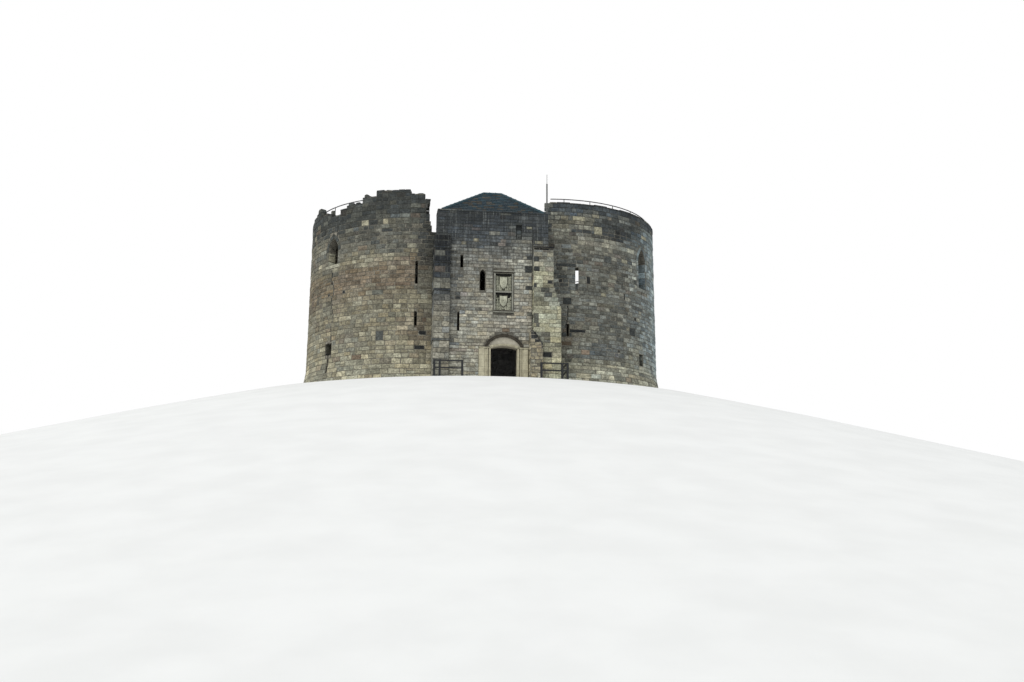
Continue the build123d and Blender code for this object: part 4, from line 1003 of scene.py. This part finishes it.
def add_gate_front():
    work = Masonry("facing_gate_front", 71, GATE_STAINS, GATE_MARKS, spread=0.21, odd=0.22, tint=GATE_TINT)
    place = front_face(GATE_FRONT)

    def span(height):
        left = PIL_R if height < PIL_TOP else GATE_L
        right = PIER_L if height < PIER_TOP + 0.18 else GATE_R
        return left, right

    work.wall(place, span, 0, GATE_WALL_TOP, GATE_TONES, *GATE_BLOCKS, front_gaps, proud=0.014, **GATE_LOOK)
    # The near-black course under the cornice is painted shadow under the eaves.
    for low, high, name, gain, lengths, proud in (
        (CORNICE, EAVES, "blue", 0.48, (0.6, 1.0), 0.04),
        (GATE_WALL_TOP, CORNICE, "coal", 1, (0.3, 0.7), 0.008),
    ):
        work.run(place, GATE_L, GATE_R, low, high, [(0, name, gain)], lengths, proud=proud, **GATE_LOOK)
    for v0, v1 in beds(work.rng, STUB_TOP, CRACK_TOP, (0.4, 0.8)):
        work.stone(place, CRACK_L + 0.002, CRACK_R - 0.002, v0, v1, STONE["coal"], proud=0.002, joint=0,
                   ragged=0.004)
    recess = front_face(GATE_FRONT + BLOCKED_DEPTH)
    for v0, v1, name in ((7.64, 7.88, "slate"), (7.88, 8.1, "blue"), (8.1, 8.34, "coal")):
        work.stone(recess, BLOCKED_L, BLOCKED_R, v0, v1, STONE[name], proud=0.01)
    for side in (-1, 1):
        a, b = sorted((SLOT_X + side * SLOT_IN, SLOT_X + side * SLOT_OUT))
        colour = work.tone(GATE_TONES, a, 4.5)
        work.stone(place, a, b, SLOT_FOOT, SLOT_HEAD, colour, proud=0.02, ragged=0)
    work.finish(GATE_STONE, "gatehouse_stone")


def add_gate_sides():
    work = Masonry("facing_gate_sides", 72, spread=0.15, odd=0.18, tint=GATE_TINT)
    inner, above_walk = GATE_L + INSET, WALK + 0.02
    for start, end, low in (
        ((GATE_L, LEFT_BACK), (GATE_L, GATE_FRONT), PIL_TOP),
        ((inner, LEFT_BACK), (GATE_L, LEFT_BACK), NOTCH),
        ((GATE_R, GATE_FRONT), (GATE_R, RIGHT_BACK), PIER_TOP + 0.1),
        ((inner, UPPER_BACK), (inner, LEFT_BACK), above_walk),
        ((GATE_R, UPPER_RIGHT_FRONT), (GATE_R, UPPER_BACK), above_walk),
        ((GATE_R, UPPER_BACK), (inner, UPPER_BACK), above_walk),
    ):
        work.side(start, end, low, EAVES, GATE_TONES, *GATE_BLOCKS, proud=0.014, **GATE_LOOK)

    def court_gaps(v0, v1):
        gaps = []
        if v0 < 2.58:
            gaps.append((PASSAGE_HALF - 0.04, 2))
        if v1 > 5.22 and v0 < 7.28:
            gaps.append((0.11, 0.82))
        return gaps

    work.side((PASSAGE_HALF, GATE_BACK), (-PASSAGE_HALF, GATE_BACK), FLOOR, WALK, COURT_TONES, (0.28, 0.38),
              (0.4, 0.7), court_gaps)
    work.finish(GATE_STONE, "gatehouse_stone")


# The same for the pier, from its left edge
PIER_STAINS = [
    (0.15, 0.55, 3.9, 4.9, "soot", 0.5), (0.5, 1.05, 4.1, 5.0, "soot", 0.6),
    (0.0, 0.2, 2.6, 5.2, "drab", 0.4), (0.6, 1.1, 5.6, 7.1, "ash", 0.4), (0.2, 1.1, 1.9, 2.6, "ash", 0.4),
    (0.0, 0.5, 1.4, 2.6, "slate", 0.35),
]
PIER_MARKS = [
    (0.0, 0.27, 6.47, 6.66, "soot"), (0.0, 0.3, 5.86, 6.08, "soot"), (0.0, 0.15, 4.84, 5.12, "soot"),
    (0.3, 0.95, 1.22, 1.42, "coal"), (0.55, 0.95, 4.35, 4.7, "slate"), (0.0, 0.25, 3.1, 3.5, "drab"),
    (0.72, 0.98, 5.2, 5.45, "soot"), (0.12, 0.3, 2.8, 3.0, "drab"), (0.4, 0.85, 2.35, 2.6, "ash"),
]
LEDGE = 0.045


def add_pilaster():
    work = Masonry("facing_pilaster", 81, spread=0.18, odd=0.2, drift=0.25, tint=GATE_TINT)
    for start, end in (
        ((PIL_L, PIL_FACE), (PIL_R, PIL_FACE)), ((PIL_L, PIL_BACK), (PIL_L, PIL_FACE)),
        ((PIL_R, PIL_FACE), (PIL_R, GATE_FRONT)),
    ):
        work.banded(start, end, PIL_TOP, PILASTER_TONES, (0.22, 0.34), (0.3, 0.6), proud=0.014, **GATE_LOOK)
    left, right, face = PIL_L - LEDGE, PIL_R + LEDGE, PIL_FACE - LEDGE
    for height in BANDS:
        # The string courses are coloured near black, drab on the lowest, as painted shade for the shadow
        # lines under them.
        painted_shade = [(0, "coal" if height > 4 else "drab", 1)]
        for start, end in (((left, face), (right, face)), ((left, PIL_BACK), (left, face))):
            place, length = flat_face(start, end)
            work.run(place, 0, length, height - LEDGE, height + LEDGE, painted_shade, (0.4, 0.6), proud=0.006,
                     joint=0.001, ragged=0.002, chamfer=0.008)
    work.finish(PILASTER_STONE, "dressed_stone")


def add_pier():
    work = Masonry("facing_pier", 82, PIER_STAINS, PIER_MARKS, spread=0.18, odd=0.32, tint=PIER_TINT)
    place, wide = flat_face((PIER_L, PIER_FACE), (PIER_R, PIER_FACE))
    blocks = (0.19, 0.31), (0.26, 0.58)
    look = dict(joint=0.003, ragged=0.008, chamfer=0.012)

    def behind_stub(v0, v1):
        if v0 >= STUB_TOP:
            return []
        part = max(0, v0 - STUB_LOW) / (STUB_TOP - STUB_LOW)
        return [(-1, STUB_R - PIER_L - part * (STUB_R - STUB_KNEE))]

    ledge_shadow_foot = PIER_TOP - 0.1
    ends = lambda v: (0, pier_side(v) - PIER_L)
    work.wall(place, ends, 0, ledge_shadow_foot, PIER_TONES, *blocks, behind_stub, split=0.1, **look)
    # Near-black course at the head of the pier: painted shadow under the ledge.
    work.run(place, 0, wide, ledge_shadow_foot, PIER_TOP, [(0, "coal", 0.5)], blocks[1], proud=0.004, **look)
    work.stains = work.marks = ()
    for start, end, low, high in (
        ((PIER_FOOT_R, PIER_FACE), (PIER_FOOT_R, PIER_FOOT_BACK), 0, PIER_FOOT_TOP),
        ((PIER_R, PIER_FACE), (PIER_R, PIER_BACK), RAKE_TOP, PIER_TOP),
        ((PIER_L, GATE_FRONT), (PIER_L, PIER_FACE), STUB_TOP, PIER_TOP),
    ):
        work.side(start, end, low, high, PIER_TONES, *blocks, **look)
    rake = (PIER_R - PIER_FOOT_R, 0, RAKE_TOP - PIER_FOOT_TOP)
    side = tilted_face((PIER_FOOT_R, PIER_FACE, PIER_FOOT_TOP), (0, 1, 0), rake)
    depth, past, out, high = 1.55, 0.04, 0.06, 0.085
    work.wall(side, (0, depth), 0, math.hypot(*rake), [(0, "drab", 1)], (0.3, 0.45), blocks[1], **look)
    # The ledge is coloured near black as well, matching the shadow line under it: painted shade.
    ledge, length = flat_face((PIER_L - past, PIER_FACE - out), (PIER_R + past, PIER_FACE - out))
    work.run(ledge, 0, length, PIER_TOP, PIER_TOP + high, [(0, "coal", 0.6)], (0.35, 0.6), proud=0.012,
             joint=0.002, ragged=0.01)
    work.finish(DRESSED, "pale_ashlar")


def add_stub():
    work = Masonry("facing_stub", 83, spread=0.24, tint=STUB_TINT)
    rng = work.rng
    place = front_face(STUB_FRONT)
    for v0, v1 in beds(rng, 0, STUB_TOP, (0.14, 0.26)):
        u = STUB_L
        while u < STUB_R - 0.02:
            end = min(u + rng.uniform(0.16, 0.36), STUB_R)
            top = stub_top((u + end) / 2)
            head = min(v1, top)
            if head - v0 > 0.06:
                colour = STONE["coal"] if top - head < 0.1 else work.tone(GATE_TONES, u, v0 + 2.2)
                work.stone(place, u, end, v0, head, colour, ragged=0.03)
            u = end
    for start, end, top in (((STUB_L, GATE_FRONT), (STUB_L, STUB_FRONT), STUB_TOP),
                            ((STUB_R, STUB_FRONT), (STUB_R, PIER_FACE), STUB_LOW)):
        work.side(start, end, 0, top, GATE_TONES, (0.14, 0.26), (0.18, 0.42), ragged=0.03)
    rise = (STUB_KNEE - STUB_R, 0, STUB_TOP - STUB_LOW)
    head = tilted_face((STUB_R, STUB_FRONT, STUB_LOW), (0, 1, 0), rise)
    work.run(head, 0, GATE_FRONT - STUB_FRONT, 0.02, math.hypot(*rise), [(0, "coal", 1)], (0.2, 0.3),
             proud=0.05, ragged=0.03)
    for _ in range(9):
        x = rng.uniform(STUB_L + 0.1, STUB_R - 0.08)
        spot = (x, rng.uniform(STUB_FRONT + 0.1, GATE_FRONT - 0.1), stub_top(x) + 0.02)
        work.lump(spot, (rng.uniform(0.08, 0.14), 0.1, 0.06), rng.choice(("coal", "soot", "drab")))
    work.finish(GATE_STONE, "gatehouse_stone")


def prism(work, outline, z0, z1, name, bevel):
    """Upright moulded block. The outline is a plan, anticlockwise seen from above."""
    cx, cy = middle_of(outline)
    first = len(work.verts)
    shrink = 1 - bevel / 0.3
    for z, scale, clean in ((z0, shrink, 0.3), (z0 + bevel, 1, 0.8), (z1 - bevel, 1, 0.8), (z1, shrink, 0.3)):
        loop = [(cx + (x - cx) * scale, cy + (y - cy) * scale, z) for x, y in outline]
        work.ring(loop, STONE[name], clean)
    work.skin(first, len(outline), 4)


# Plans of the door casing: distance from the door's side, distance out from the wall
JAMB_PROFILE = [
    (0.0, -0.4), (0.0, 0.05), (0.012, 0.085), (0.03, 0.105), (0.055, 0.112), (0.08, 0.105), (0.095, 0.085),
    (0.105, 0.06), (0.125, 0.048), (0.145, 0.06), (0.155, 0.09), (0.165, 0.11), (0.2, 0.112), (0.215, 0.09),
    (0.22, 0.062), (0.315, 0.056), (0.325, 0.075), (0.345, 0.092), (0.53, 0.092), (0.56, 0.08),
    (0.6, 0.035), (0.618, 0.012), (0.618, -0.02), (0.078, -0.02), (0.078, -0.4),
]
PLINTH_PROFILE = [
    (0.006, -0.38), (0.006, 0.125), (0.03, 0.138), (0.6, 0.138), (0.62, 0.12), (0.62, -0.02), (0.08, -0.02),
    (0.08, -0.38),
]


def arch_parts(count):
    """Ends and middle of each stone round an arch, from -1 at its left foot to 1 at its right."""
    return [[-1 + 2 * (i + part) / count for part in (0.006, 0.5, 0.994)] for i in range(count)]


def casing_plan(profile, side):
    plan = [(DOOR_X + side * (DOOR_HALF + x), GATE_FRONT - out) for x, out in profile]
    return plan[::-1] if side > 0 else plan


def add_jambs():
    work = Masonry("moulded_jambs", 91)
    for side in (-1, 1):
        prism(work, casing_plan(PLINTH_PROFILE, side), 0.0, 0.255, "cream", 0.015)
        for z0, z1 in beds(work.rng, 0.26, SPRINGING, (0.24, 0.4)):
            prism(work, casing_plan(JAMB_PROFILE, side), z0 + 0.003, z1 - 0.003, "bone", 0.004)
    piece = work.finish(CASING, "carved_stone")
    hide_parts("door_jambs")


def add_lintel():
    work = Masonry("impost_and_lintel", 92)
    back, face, wide = GATE_FRONT + 0.01, GATE_FRONT - 0.13, 0.62
    for side in (-1, 1):
        a, b = sorted((side * DOOR_HALF, side * (DOOR_HALF + wide)))
        plan = [(DOOR_X + x, y) for x, y in ((a, back), (a, face), (b, face), (b, back))]
        prism(work, plan, SPRINGING + 0.002, IMPOST + 0.008, "cream", 0.008)
    curve = lambda t, w: (DOOR_X + t * (DOOR_HALF + w * 0.98), SPRINGING + w + 0.11 * (1 - t * t))
    for low, high, out in ((0.0, 0.04, 0.012), (0.042, 0.078, 0.03), (0.08, 0.105, 0.012)):
        for parts in arch_parts(7):
            outline = [curve(t, low) for t in parts] + [curve(t, high) for t in parts[::-1]]
            work.poly(front_face(face), outline, out, STONE["bone"], chamfer=0.008, bulge=0.002)
    work.finish(CASING, "carved_stone")


def add_hood():
    def curve(t, grown):
        """Point of the hood's arch once it is grown on all sides."""
        width, rise = HOOD_WIDTH + 2 * grown, HOOD_RISE + grown
        radius = segment_radius(width, rise)
        turn = math.asin(width / 2 / radius) * t
        return (DOOR_X + radius * math.sin(turn), IMPOST + rise - radius + radius * math.cos(turn))

    # The dark inner fillet is painted shadow between the hood ring and the tympanum.
    for name, look, low, high, out in (
        ("hood_painted_shadow_fillet", HOOD, 0.0, 0.028, 0.098), ("hood_pale_ring", TYMPANUM, 0.03, 0.1, 0.123),
        ("hood_outer_ring", HOOD, 0.102, 0.143, 0.133),
    ):
        work = Masonry(name, 93)
        for parts in arch_parts(9):
            outline = [curve(t, low) for t in parts] + [curve(t, high) for t in parts[::-1]]
            work.poly(front_face(GATE_FRONT), outline, out, STONE["drab"], chamfer=0.012, bulge=0.004)
        work.finish(look, "carved_stone")


def lobe_pad(work, place, u, v, along, across, turn, height, base):
    """Leaf or petal: a crowned pad with a crease down its middle."""
    c, s = math.cos(turn), math.sin(turn)
    first = len(work.verts)
    n = 12
    for scale, rise in ((1.0, 0.0), (0.8, 0.62), (0.45, 0.95)):
        loop = []
        for i in range(n):
            t = 2 * math.pi * i / n
            x = along * scale * math.cos(t)
            y = across * scale * math.sin(t) * (1 - 0.35 * math.cos(t))
            crease = 1 - 0.35 * math.exp(-((y / across) ** 2) * 30)
            loop.append(place(u + x * c - y * s, v + x * s + y * c, base + height * rise * crease))
        work.ring(loop, STONE["lemon"], 0.4 + 0.6 * rise)
    work.ring([place(u, v, base + height * 0.62)], STONE["lemon"], 0.8)
    work.skin(first, n, 3, peak=True)


def shield_plate(centre, tall):
    """Outline of the plain raised shield, a little inside the model's own."""
    half = 0.19
    right = [(half * 0.72, centre - tall * 0.28), (half, centre), (half, centre + tall * 0.47)]
    outline = [(0, centre - tall * 0.46), *right, *((-x, v) for x, v in right[::-1])]
    return [(PANEL_X + x, v) for x, v in outline]


def add_panels():
    work = Masonry("panel_carving", 95)
    rng = work.rng
    place = front_face(GATE_FRONT + 0.08)
    ring, lift, pitch = 0.085, 0.04, 0.083
    for sill, share, clear in ((3.75, 0.62, 0.7), (4.72, 0.7, 0.84)):
        centre = sill + 0.485
        tall = 0.97 * share
        # plain shield with a rosette, in a field of mirrored leaves
        work.poly(place, shield_plate(centre, tall), 0.052, STONE["lemon"], chamfer=0.01)
        for i in range(8):
            turn = 2 * math.pi * i / 8
            u, v = PANEL_X + ring * math.cos(turn), centre + lift + ring * math.sin(turn)
            lobe_pad(work, place, u, v, 0.062, 0.032, turn, 0.03, 0.05)
        lobe_pad(work, place, PANEL_X, centre + lift, 0.034, 0.034, 0, 0.04, 0.05)
        for row in range(11):
            v = sill + 0.05 + row * pitch
            for column in range(5):
                x = 0.045 + pitch * column
                taper = max(0, centre - v) * 0.55
                if x < 0.255 - taper and abs(v - centre) < tall / 2 + 0.03:
                    continue
                if v > sill + clear and (x < 0.3 or rng.random() < 0.4) or rng.random() < 0.06:
                    continue
                turn = math.radians(35 + 50 * (row % 2) + 28 * column)
                for side, spin in ((-1, math.pi - turn), (1, turn)):
                    lobe_pad(work, place, PANEL_X + side * x, v, 0.068, 0.038, spin, 0.045, -0.004)
    work.finish(PANEL, "carved_stone", smooth=True)

    # Black strips under the tops of both panels and black patches in the lower panel: painted shadow in the
    # recesses.
    work = Masonry("panel_painted_shadows", 96)
    for u0, u1, v0, v1 in ((-0.42, 0.42, 4.58, 4.7), (-0.42, 0.42, 5.59, 5.69), (-0.32, -0.22, 4.46, 4.57),
                           (-0.1, 0.04, 4.5, 4.57), (0.22, 0.36, 4.44, 4.57)):
        work.stone(place, PANEL_X + u0, PANEL_X + u1, v0, v1, STONE["coal"], proud=0.045)
    work.finish(PAINTED_SHADOW_STONE, "carved_stone")

    work = Masonry("panel_label", 97)
    half = 0.495
    for v0, v1 in ((5.695, 5.76), (3.68, 3.745)):
        work.run(front_face(GATE_FRONT - 0.08), PANEL_X - half, PANEL_X + half, v0, v1, [(0, "coal", 1)],
                 (0.4, 0.6), proud=0.006, joint=0.001, ragged=0.004, chamfer=0.006)
    work.finish(HOOD, "carved_stone")


# The roof: its eaves, its rise, and the ends of its ridge
ROOF_L, ROOF_R = GATE_L + 0.25, GATE_R - 0.2
ROOF_FRONT, ROOF_BACK = GATE_FRONT + 0.1, UPPER_BACK - 0.1
ROOF_RISE, RIDGE_HALF = 1.67, 0.475
RIDGE_X, RIDGE_Y = (ROOF_L + ROOF_R) / 2 + 0.16, (ROOF_FRONT + ROOF_BACK) / 2


def add_slates():
    work = Masonry("slate_courses", 101)
    rng = work.rng
    rows, lap, clear, gap = 11, 0.03, 0.03, 0.003
    west, east, depth = RIDGE_X - RIDGE_HALF - ROOF_L, ROOF_R - RIDGE_X - RIDGE_HALF, RIDGE_Y - ROOF_FRONT
    corners = [(ROOF_L, ROOF_FRONT), (ROOF_R, ROOF_FRONT), (ROOF_R, ROOF_BACK), (ROOF_L, ROOF_BACK)]
    for first, inward, hip, far_hip in (
        (0, depth, west, east), (2, depth, east, west), (1, east, depth, depth), (3, west, depth, depth),
    ):
        place, length = flat_face(corners[first], corners[(first + 1) % 4])
        slope = math.hypot(inward, ROOF_RISE)
        flat, up = inward / slope, ROOF_RISE / slope
        for row in range(rows):
            v0 = slope * row / rows
            v1 = slope * (row + 1) / rows + lap
            a = hip * v0 / slope + clear
            b = length - far_hip * v0 / slope - clear
            tilt = lambda u, v, d: sloped(place, flat, up, u, v, d + 0.02 * (v1 - v) / (v1 - v0))
            u = a - rng.uniform(0, 0.15)
            while u < b - 0.03:
                wide = rng.uniform(0.2, 0.34)
                u0, u1 = max(u, a), min(u + wide, b)
                u += wide
                if u1 - u0 <= 0.06:
                    continue
                tone = rng.uniform(0.72, 1.2) * (0.96 + 0.5 * row / rows)
                colour = shaded(rng.choice(SLATE_TINTS), tone)
                sag = v0 - rng.uniform(0, 0.02)
                most = (u1 - u0) * 0.45
                lean = min(hip * (v1 - v0) / slope, most) if u0 <= a + 0.001 else 0
                lean_right = min(far_hip * (v1 - v0) / slope, most) if u1 >= b - 0.001 else 0
                outline = [(u0 + gap, sag), ((u0 + u1) / 2, sag - 0.006), (u1 - gap, sag),
                           (u1 - gap - lean_right, v1), (u0 + gap + lean, v1)]
                work.poly(tilt, outline, 0.014, colour, chamfer=0.004, bulge=0.001, sink=0.012)
    work.finish(SLATES, "slate")


def sloped(place, flat, up, u, v, d):
    """Point of a slope that rises inwards from the eaves on an upright face."""
    return place(u, EAVES + v * up + d * flat, d * up - v * flat)


def add_collars():
    """Collars where one ridge or hip tile laps the next."""
    work = Masonry("ridge_collars", 102)
    top = EAVES + ROOF_RISE
    ends = [(RIDGE_X - RIDGE_HALF, RIDGE_Y, top), (RIDGE_X + RIDGE_HALF, RIDGE_Y, top)]
    lines = [ends]
    for x, end in zip((ROOF_L, ROOF_R), ends):
        lines += [((x, y, EAVES), end) for y in (ROOF_FRONT, ROOF_BACK)]
    for start, end in lines:
        start, end = Vector(start), Vector(end)
        along = (end - start).normalized()
        side = along.cross(Vector((0, 0, 1))).normalized()
        over = side.cross(along).normalized()
        count = max(3, int((end - start).length / 0.36))
        for i in range(1, count):
            collar(work, start.lerp(end, i / count), along, side, over)
    work.finish(RIDGE, "ridge_tile")


def collar(work, middle, along, side, over, inner=0.095, outer=0.108, width=0.05, sweep=80, steps=10):
    """Part ring over a tile."""
    half = [(inner, 0.5), (outer - 0.004, 0.5), (outer, 0.3)]
    profile = half + [(radius, -shift) for radius, shift in half[::-1]]
    first = len(work.verts)
    for i in range(steps + 1):
        t = math.radians(2 * sweep * i / steps - sweep)
        spoke = side * math.sin(t) + over * math.cos(t)
        loop = [tuple(middle + spoke * radius + along * (shift * width)) for radius, shift in profile]
        work.ring(loop, rgb(82, 84, 82), 1.0)
    work.skin(first, len(profile), steps + 1)


# The court
def in_court(x, y):
    if max(abs(x), abs(y)) < SPUR_FACE - 0.02:
        return True
    return any(math.hypot(x - sx * OFFSET, y - sy * OFFSET) < INNER - 0.02 for sx, sy in SIGN.values())


def add_passage_paving():
    """Flags between the two front rings, behind the gatehouse's upper storey."""
    work = Masonry("passage_paving", 112)
    rows, first, deep = 3, UPPER_BACK + 0.03, GATE_BACK - UPPER_BACK - 0.04
    for row in range(rows):
        y0, y1 = first + deep * row / rows, first + deep * (row + 1) / rows
        half = OFFSET - math.sqrt(INNER**2 - (y1 + OFFSET) ** 2) - 0.01
        work.run(level_face(WALK), -half, half, y0, y1, FLAG_TONES, (0.5, 0.8), proud=0.012)
    work.finish(FLAGS, "paving")


def add_court_floor():
    work = Masonry("court_paving", 111)
    reach = 7.2
    y = -reach
    while y < reach:
        deep = work.rng.uniform(0.45, 0.7)
        x = -reach
        while x < reach:
            wide = work.rng.uniform(0.5, 1.0)
            if all(in_court(a, b) for a in (x, x + wide) for b in (y, y + deep)):
                colour = work.tone(FLAG_TONES, x, y)
                work.stone(level_face(FLOOR), x, x + wide, y, y + deep, colour, proud=0.008)
            x += wide
        y += deep
    work.finish(FLAGS, "paving")


# Materials of the model's own solids
def dress_model():
    looks = {
        "roof_slates": SLATES, "ridge_tiles": RIDGE, "lightning_rod": BARE, "landing_guard": PAINTED,
        "_rail": PAINTED, "panel_frame": FRAME, "upper_panel": GROUND, "lower_panel": GROUND,
        "hood_mould": HOOD, "door_arch": TYMPANUM, "passage_wall": HALL, "chamber_floor": HALL,
        "_parapet": SOOTY, "gate_pilaster": SOOTY, "front_wall": GATE_BACKING,
    }
    for name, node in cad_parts.items():
        chosen = BACKING
        for key, material in looks.items():
            if key in name:
                chosen = material
        node.data.materials.clear()
        node.data.materials.append(chosen)

# Camera, light and floor
LENS, SENSOR, FAR = 38.67, 36, 400
CAMERA_PLACE = (-6.35, -66.0, -8.68)
YAW, PITCH, ROLL = (math.radians(angle) for angle in (7.35, 11.1, 0.35))
SOFT_LIGHT, SUNLIGHT, SUN_HEADING = (0.95, 0.98, 1.0), (1.0, 0.98, 0.94), (0.55, 0.6, -0.75)
# Rings of the floor: radius, height
FLOOR_RINGS = [
    (11.6, 0), (12.6, 0), (13.2, -0.04), (14, -0.14), (15.5, -0.42), (18, -1.05), (22, -2.1), (32, -4.9),
    (60, -13), (90, -22), (160, -44),
]


def add_camera():
    camera = bpy.data.cameras.new("camera")
    camera.lens = LENS
    camera.sensor_width = SENSOR
    camera.clip_end = FAR
    thing = put("camera", camera)
    ahead = Vector((math.sin(YAW) * math.cos(PITCH), math.cos(YAW) * math.cos(PITCH), math.sin(PITCH)))
    right = ahead.cross(Vector((0, 0, 1))).normalized()
    up = right.cross(ahead)
    tilted = right * math.cos(ROLL) + up * math.sin(ROLL)
    upright = up * math.cos(ROLL) - right * math.sin(ROLL)
    view = Matrix((tilted, upright, -ahead)).transposed().to_4x4()
    view.translation = CAMERA_PLACE
    thing.matrix_world = view
    bpy.context.scene.camera = thing


def add_floor():
    """Pale floor: level under the keep, then falling away so that the low camera sees it."""
    sides, sunk = 128, 0.004
    verts, faces = [(0, 0, -sunk)], []
    for r, z in FLOOR_RINGS:
        for i in range(sides):
            t = 2 * math.pi * i / sides
            verts.append((r * math.cos(t), r * math.sin(t), z - sunk))
    for i in range(sides):
        j = (i + 1) % sides
        faces.append((0, 1 + i, 1 + j))
        for ring in range(len(FLOOR_RINGS) - 1):
            a = 1 + ring * sides
            faces.append((a + i, a + sides + i, a + sides + j, a + j))
    mesh = bpy.data.meshes.new("floor")
    mesh.from_pydata(verts, [], faces)
    mesh.shade_smooth()
    tree = Tree("pale_floor")
    colour = tree.mix(tree.span(tree.noise(0.6, 4, 0.5), 0.2, 0.8), (0.78, 0.78, 0.77), (0.83, 0.83, 0.82))
    grain = tree.bump(tree.noise(3, 4, 0.5), 0.004, 0.3)
    mesh.materials.append(tree.finish(colour, 0.95, grain, specular=0.1))
    floor = put("floor", mesh)


def add_light():
    world = bpy.data.worlds.new("studio")
    bpy.context.scene.world = world
    world.use_nodes = True
    nodes, links = world.node_tree.nodes, world.node_tree.links
    nodes.clear()
    path, seen = nodes.new("ShaderNodeLightPath"), nodes.new("ShaderNodeMath")
    mixed, out = nodes.new("ShaderNodeMixShader"), nodes.new("ShaderNodeOutputWorld")
    seen.operation = "MAXIMUM"
    links.new(path.outputs["Is Camera Ray"], seen.inputs[0])
    links.new(path.outputs["Is Glossy Ray"], seen.inputs[1])
    links.new(seen.outputs[0], mixed.inputs["Fac"])
    # soft light for the keep, plain white for the camera
    for place, (colour, strength) in enumerate(((SOFT_LIGHT, 0.8), ((1, 1, 1), 1.0)), 1):
        sky = nodes.new("ShaderNodeBackground")
        sky.inputs["Color"].default_value = (*colour, 1)
        sky.inputs["Strength"].default_value = strength
        links.new(sky.outputs[0], mixed.inputs[place])
    links.new(mixed.outputs[0], out.inputs["Surface"])

    lamp = bpy.data.lights.new("soft_sun", "SUN")
    lamp.energy = 1.3
    lamp.angle = math.radians(35)
    lamp.color = SUNLIGHT
    put("soft_sun", lamp).rotation_euler = Vector(SUN_HEADING).to_track_quat("-Z", "Y").to_euler()


for step in (
    add_camera, add_light, add_floor, dress_model, add_lobes, add_spurs, add_turrets, add_gate_front,
    add_gate_sides, add_pilaster, add_pier, add_stub, add_jambs, add_lintel, add_hood, add_panels, add_slates,
    add_collars, add_court_floor, add_passage_paving,
):
    step()

bpy.context.scene.view_settings.view_transform = "Standard"
bpy.context.view_layer.update()
